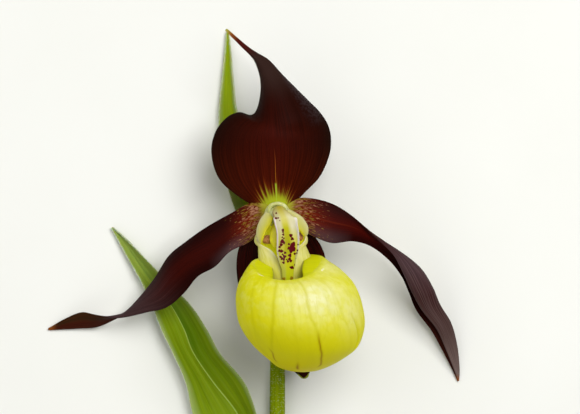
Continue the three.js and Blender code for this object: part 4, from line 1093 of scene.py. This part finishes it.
# Staminode wax: pale cream slopes and a deep yellow middle, greener at its foot, brownish where it
# leaves the column. Its margins are white with a violet line, and its spots crimson.
staminode_wax = blank("spotted staminode")
staminode_across, staminode_along, staminode_beside = places(staminode_wax)
staminode_middle = add(staminode_wax, "ValToRGB", [staminode_along], [
    (0.04, "#a0922c"), (0.25, "#c8c06a"), (0.35, "#c4bc50"), (0.44, "#b0ac0a"), (0.6, "#9a9600"),
    (0.72, "#a29e00"), (0.84, "#b4b208"), (0.95, "#b0b600")])
staminode_slope = add(staminode_wax, "ValToRGB", [staminode_along], [
    (0.04, "#a2963c"), (0.22, "#cac494"), (0.42, "#d2ccaa"), (0.56, "#c8c25c"), (0.66, "#c2bc28"),
    (0.9, "#b2b410")])
flange_share = add(staminode_wax, "ValToRGB", [staminode_along],
                   [(0.24, "#000000"), (0.3, "#ffffff"), (0.58, "#ffffff"), (0.85, "#000000")])
brown_reach = add(staminode_wax, "ValToRGB", [staminode_along], [(0.2, "#ffffff"), (0.27, "#000000")])
foot_mark, spot_mark = [
    add(staminode_wax, "Attribute", attribute_name=name).outputs["Fac"] for name in ("foot_mark", "spot")
]
staminode_yellow = coated(staminode_wax, staminode_middle, [
    (staminode_slope, (staminode_beside, 0.12, 0.5)),
    ("#8a8458", (staminode_across, 0.2, 0.45, 0.35, 0)),  # the shaded left slope
    ("#e6dfdc", (staminode_beside, 0.74, 0.9), flange_share),
    ("#a680a8", (staminode_across, 0.012, 0.05, 0.75, 0), flange_share),  # the violet line
    ("#7c4a24", (staminode_beside, 0.78, 0.92, 0, 0.8), brown_reach),
    ("#8a6a08", foot_mark),
    ("#54000a", spot_mark),
])
add(staminode_wax, "OutputMaterial", [add(staminode_wax, "BsdfPrincipled", {
    "Base Color": staminode_yellow, "Roughness": 0.4, "Specular IOR Level": 0.08,
    "Subsurface Weight": 0.08, "Subsurface Radius": (1.0, 0.9, 0.5), "Subsurface Scale": 0.0003})])

across, along = grid(across_steps=96, along_steps=240)
# The margins turn up from under its stalk almost to its foot.
flange = STAMINODE_FLANGE * across**6 * ease(0.2, 0.34, along) * ease(0.95, 0.7, along)
staminode = blade_piece("staminode", blade_surface(STAMINODE_ROWS, across, along), across, along,
                        [staminode_wax, staminode_wax], STAMINODE_THICKNESS, flange)
corner = np.array([vertex.co for vertex in staminode.data.vertices]) / MILLIMETRE
# Each ring of points runs over the top of the blade first, and then back underneath.
on_top = np.arange(len(corner)) % (2 * across.size - 2) < across.size
for name, marks in [("spot", STAMINODE_SPOTS), ("foot_mark", FOOT_MARKS)]:
    spot = np.zeros(len(corner))
    for x, y, radius in marks:
        away = np.hypot(corner[:, 0] - x, corner[:, 1] - y)
        ragged = 1 + SPOT_RAGGED * np.sin(3 * np.arctan2(corner[:, 1] - y, corner[:, 0] - x) + 9 * x)
        spot = np.maximum(spot, ease(*SPOT_EDGE, away / radius / ragged))
    mark(staminode, name, spot * on_top)
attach(staminode, "root")
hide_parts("staminode")

# ---- Anthers ----
# The anthers: a soft brown mass of sticky pollen on the inner side of each arm. Its grains clump into
# a lumpy ball that holds together by its own glue.
ANTHERS = {"anther_left": (-2.15, 12.7, 20.9), "anther_right": (4.3, 13.3, 21.1)}
ANTHER_RADII = (1.1, 0.95, 0.9)
ANTHER_LUMP = 0.06  # of the radius
ANTHER_CAP = 0.02  # radians from each pole to the first ring

pollen_brown = blank("sticky pollen")
pollen_grain = blotches(pollen_brown, 0.3, 3)
pollen_tint = add(pollen_brown, "ValToRGB", [pollen_grain], [(0.3, "#945c26"), (0.7, "#c48c54")])
pollen_bump = add(pollen_brown, "Bump", {"Strength": 0.6, "Distance": 0.0001, "Height": pollen_grain})
add(pollen_brown, "OutputMaterial", [add(pollen_brown, "BsdfPrincipled", {
    "Base Color": pollen_tint, "Roughness": 0.6, "Specular IOR Level": 0.15, "Normal": pollen_bump})])

down = np.linspace(ANTHER_CAP, np.pi - ANTHER_CAP, 41)[:, None]
around = np.linspace(0, 2 * np.pi, 48, endpoint=False)[None, :]
lumps = np.sin(5 * around) * np.sin(4 * down) + np.cos(3 * around + 2) * np.sin(down)
ball = [np.sin(down) * np.cos(around), np.sin(down) * np.sin(around), np.cos(down) + 0 * around]
pollen_ball = np.stack(ball, axis=-1) * (1 + ANTHER_LUMP * lumps[..., None]) * ANTHER_RADII
for name, centre in ANTHERS.items():
    anther = limb_piece(name + "_pollen", np.array(centre) + pollen_ball, [pollen_brown])
    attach(anther, "root")
    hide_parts(name)

# ---- Table, light and camera ----
# A plain pale table top under soft studio light. The camera looks straight down on the flower. Places
# and sizes are in metres here.
TABLE_SIZE = 6
TABLE_TOP = -0.00005  # just clear of the part
SKY_STRENGTH = 0.28
CAMERA_PLACE = (0.002625, 0.01953, 1.0)
CAMERA_LENS = 290.5  # mm
LIGHTS = {  # place, width and power
    "key": ((0.28, 0.3, 0.9), 0.6, 9),
    "fill": ((-0.6, 0.5, 0.8), 1.0, 3.2),
    "low": ((-0.25, -0.9, 0.6), 0.8, 1.5),
}

table_top = blank("painted board")
board_white = add(table_top, "ValToRGB", [blotches(table_top, 40, 4)], [(0.2, "#e4e4de"), (0.8, "#e8e8e3")])
add(table_top, "OutputMaterial", [add(table_top, "BsdfPrincipled", {
    "Base Color": board_white, "Roughness": 0.8, "Specular IOR Level": 0.2})])
bpy.ops.mesh.primitive_plane_add(size=TABLE_SIZE, location=(0, 0, TABLE_TOP))
table = bpy.context.object
table.name = "table"
table.data.materials.append(table_top)

for name, (place, width, power) in LIGHTS.items():
    lamp = bpy.data.lights.new(name, "AREA")
    lamp.energy = power
    lamp.size = width
    softbox = bpy.data.objects.new(name, lamp)
    bpy.context.collection.objects.link(softbox)
    softbox.location = place
    softbox.rotation_euler = (-softbox.location).to_track_quat("-Z", "Y").to_euler()
    softbox.visible_camera = False

world = bpy.data.worlds.new("studio")
world.use_nodes = True
sky = world.node_tree.nodes["Background"]
sky.inputs["Color"].default_value = linear("#f4f5f2")
sky.inputs["Strength"].default_value = SKY_STRENGTH
bpy.context.scene.world = world
bpy.context.scene.view_settings.view_transform = "Standard"

lens = bpy.data.cameras.new("camera")
lens.lens = CAMERA_LENS
lens.clip_end = 20
camera = bpy.data.objects.new("camera", lens)
bpy.context.collection.objects.link(camera)
camera.location = CAMERA_PLACE
bpy.context.scene.camera = camera
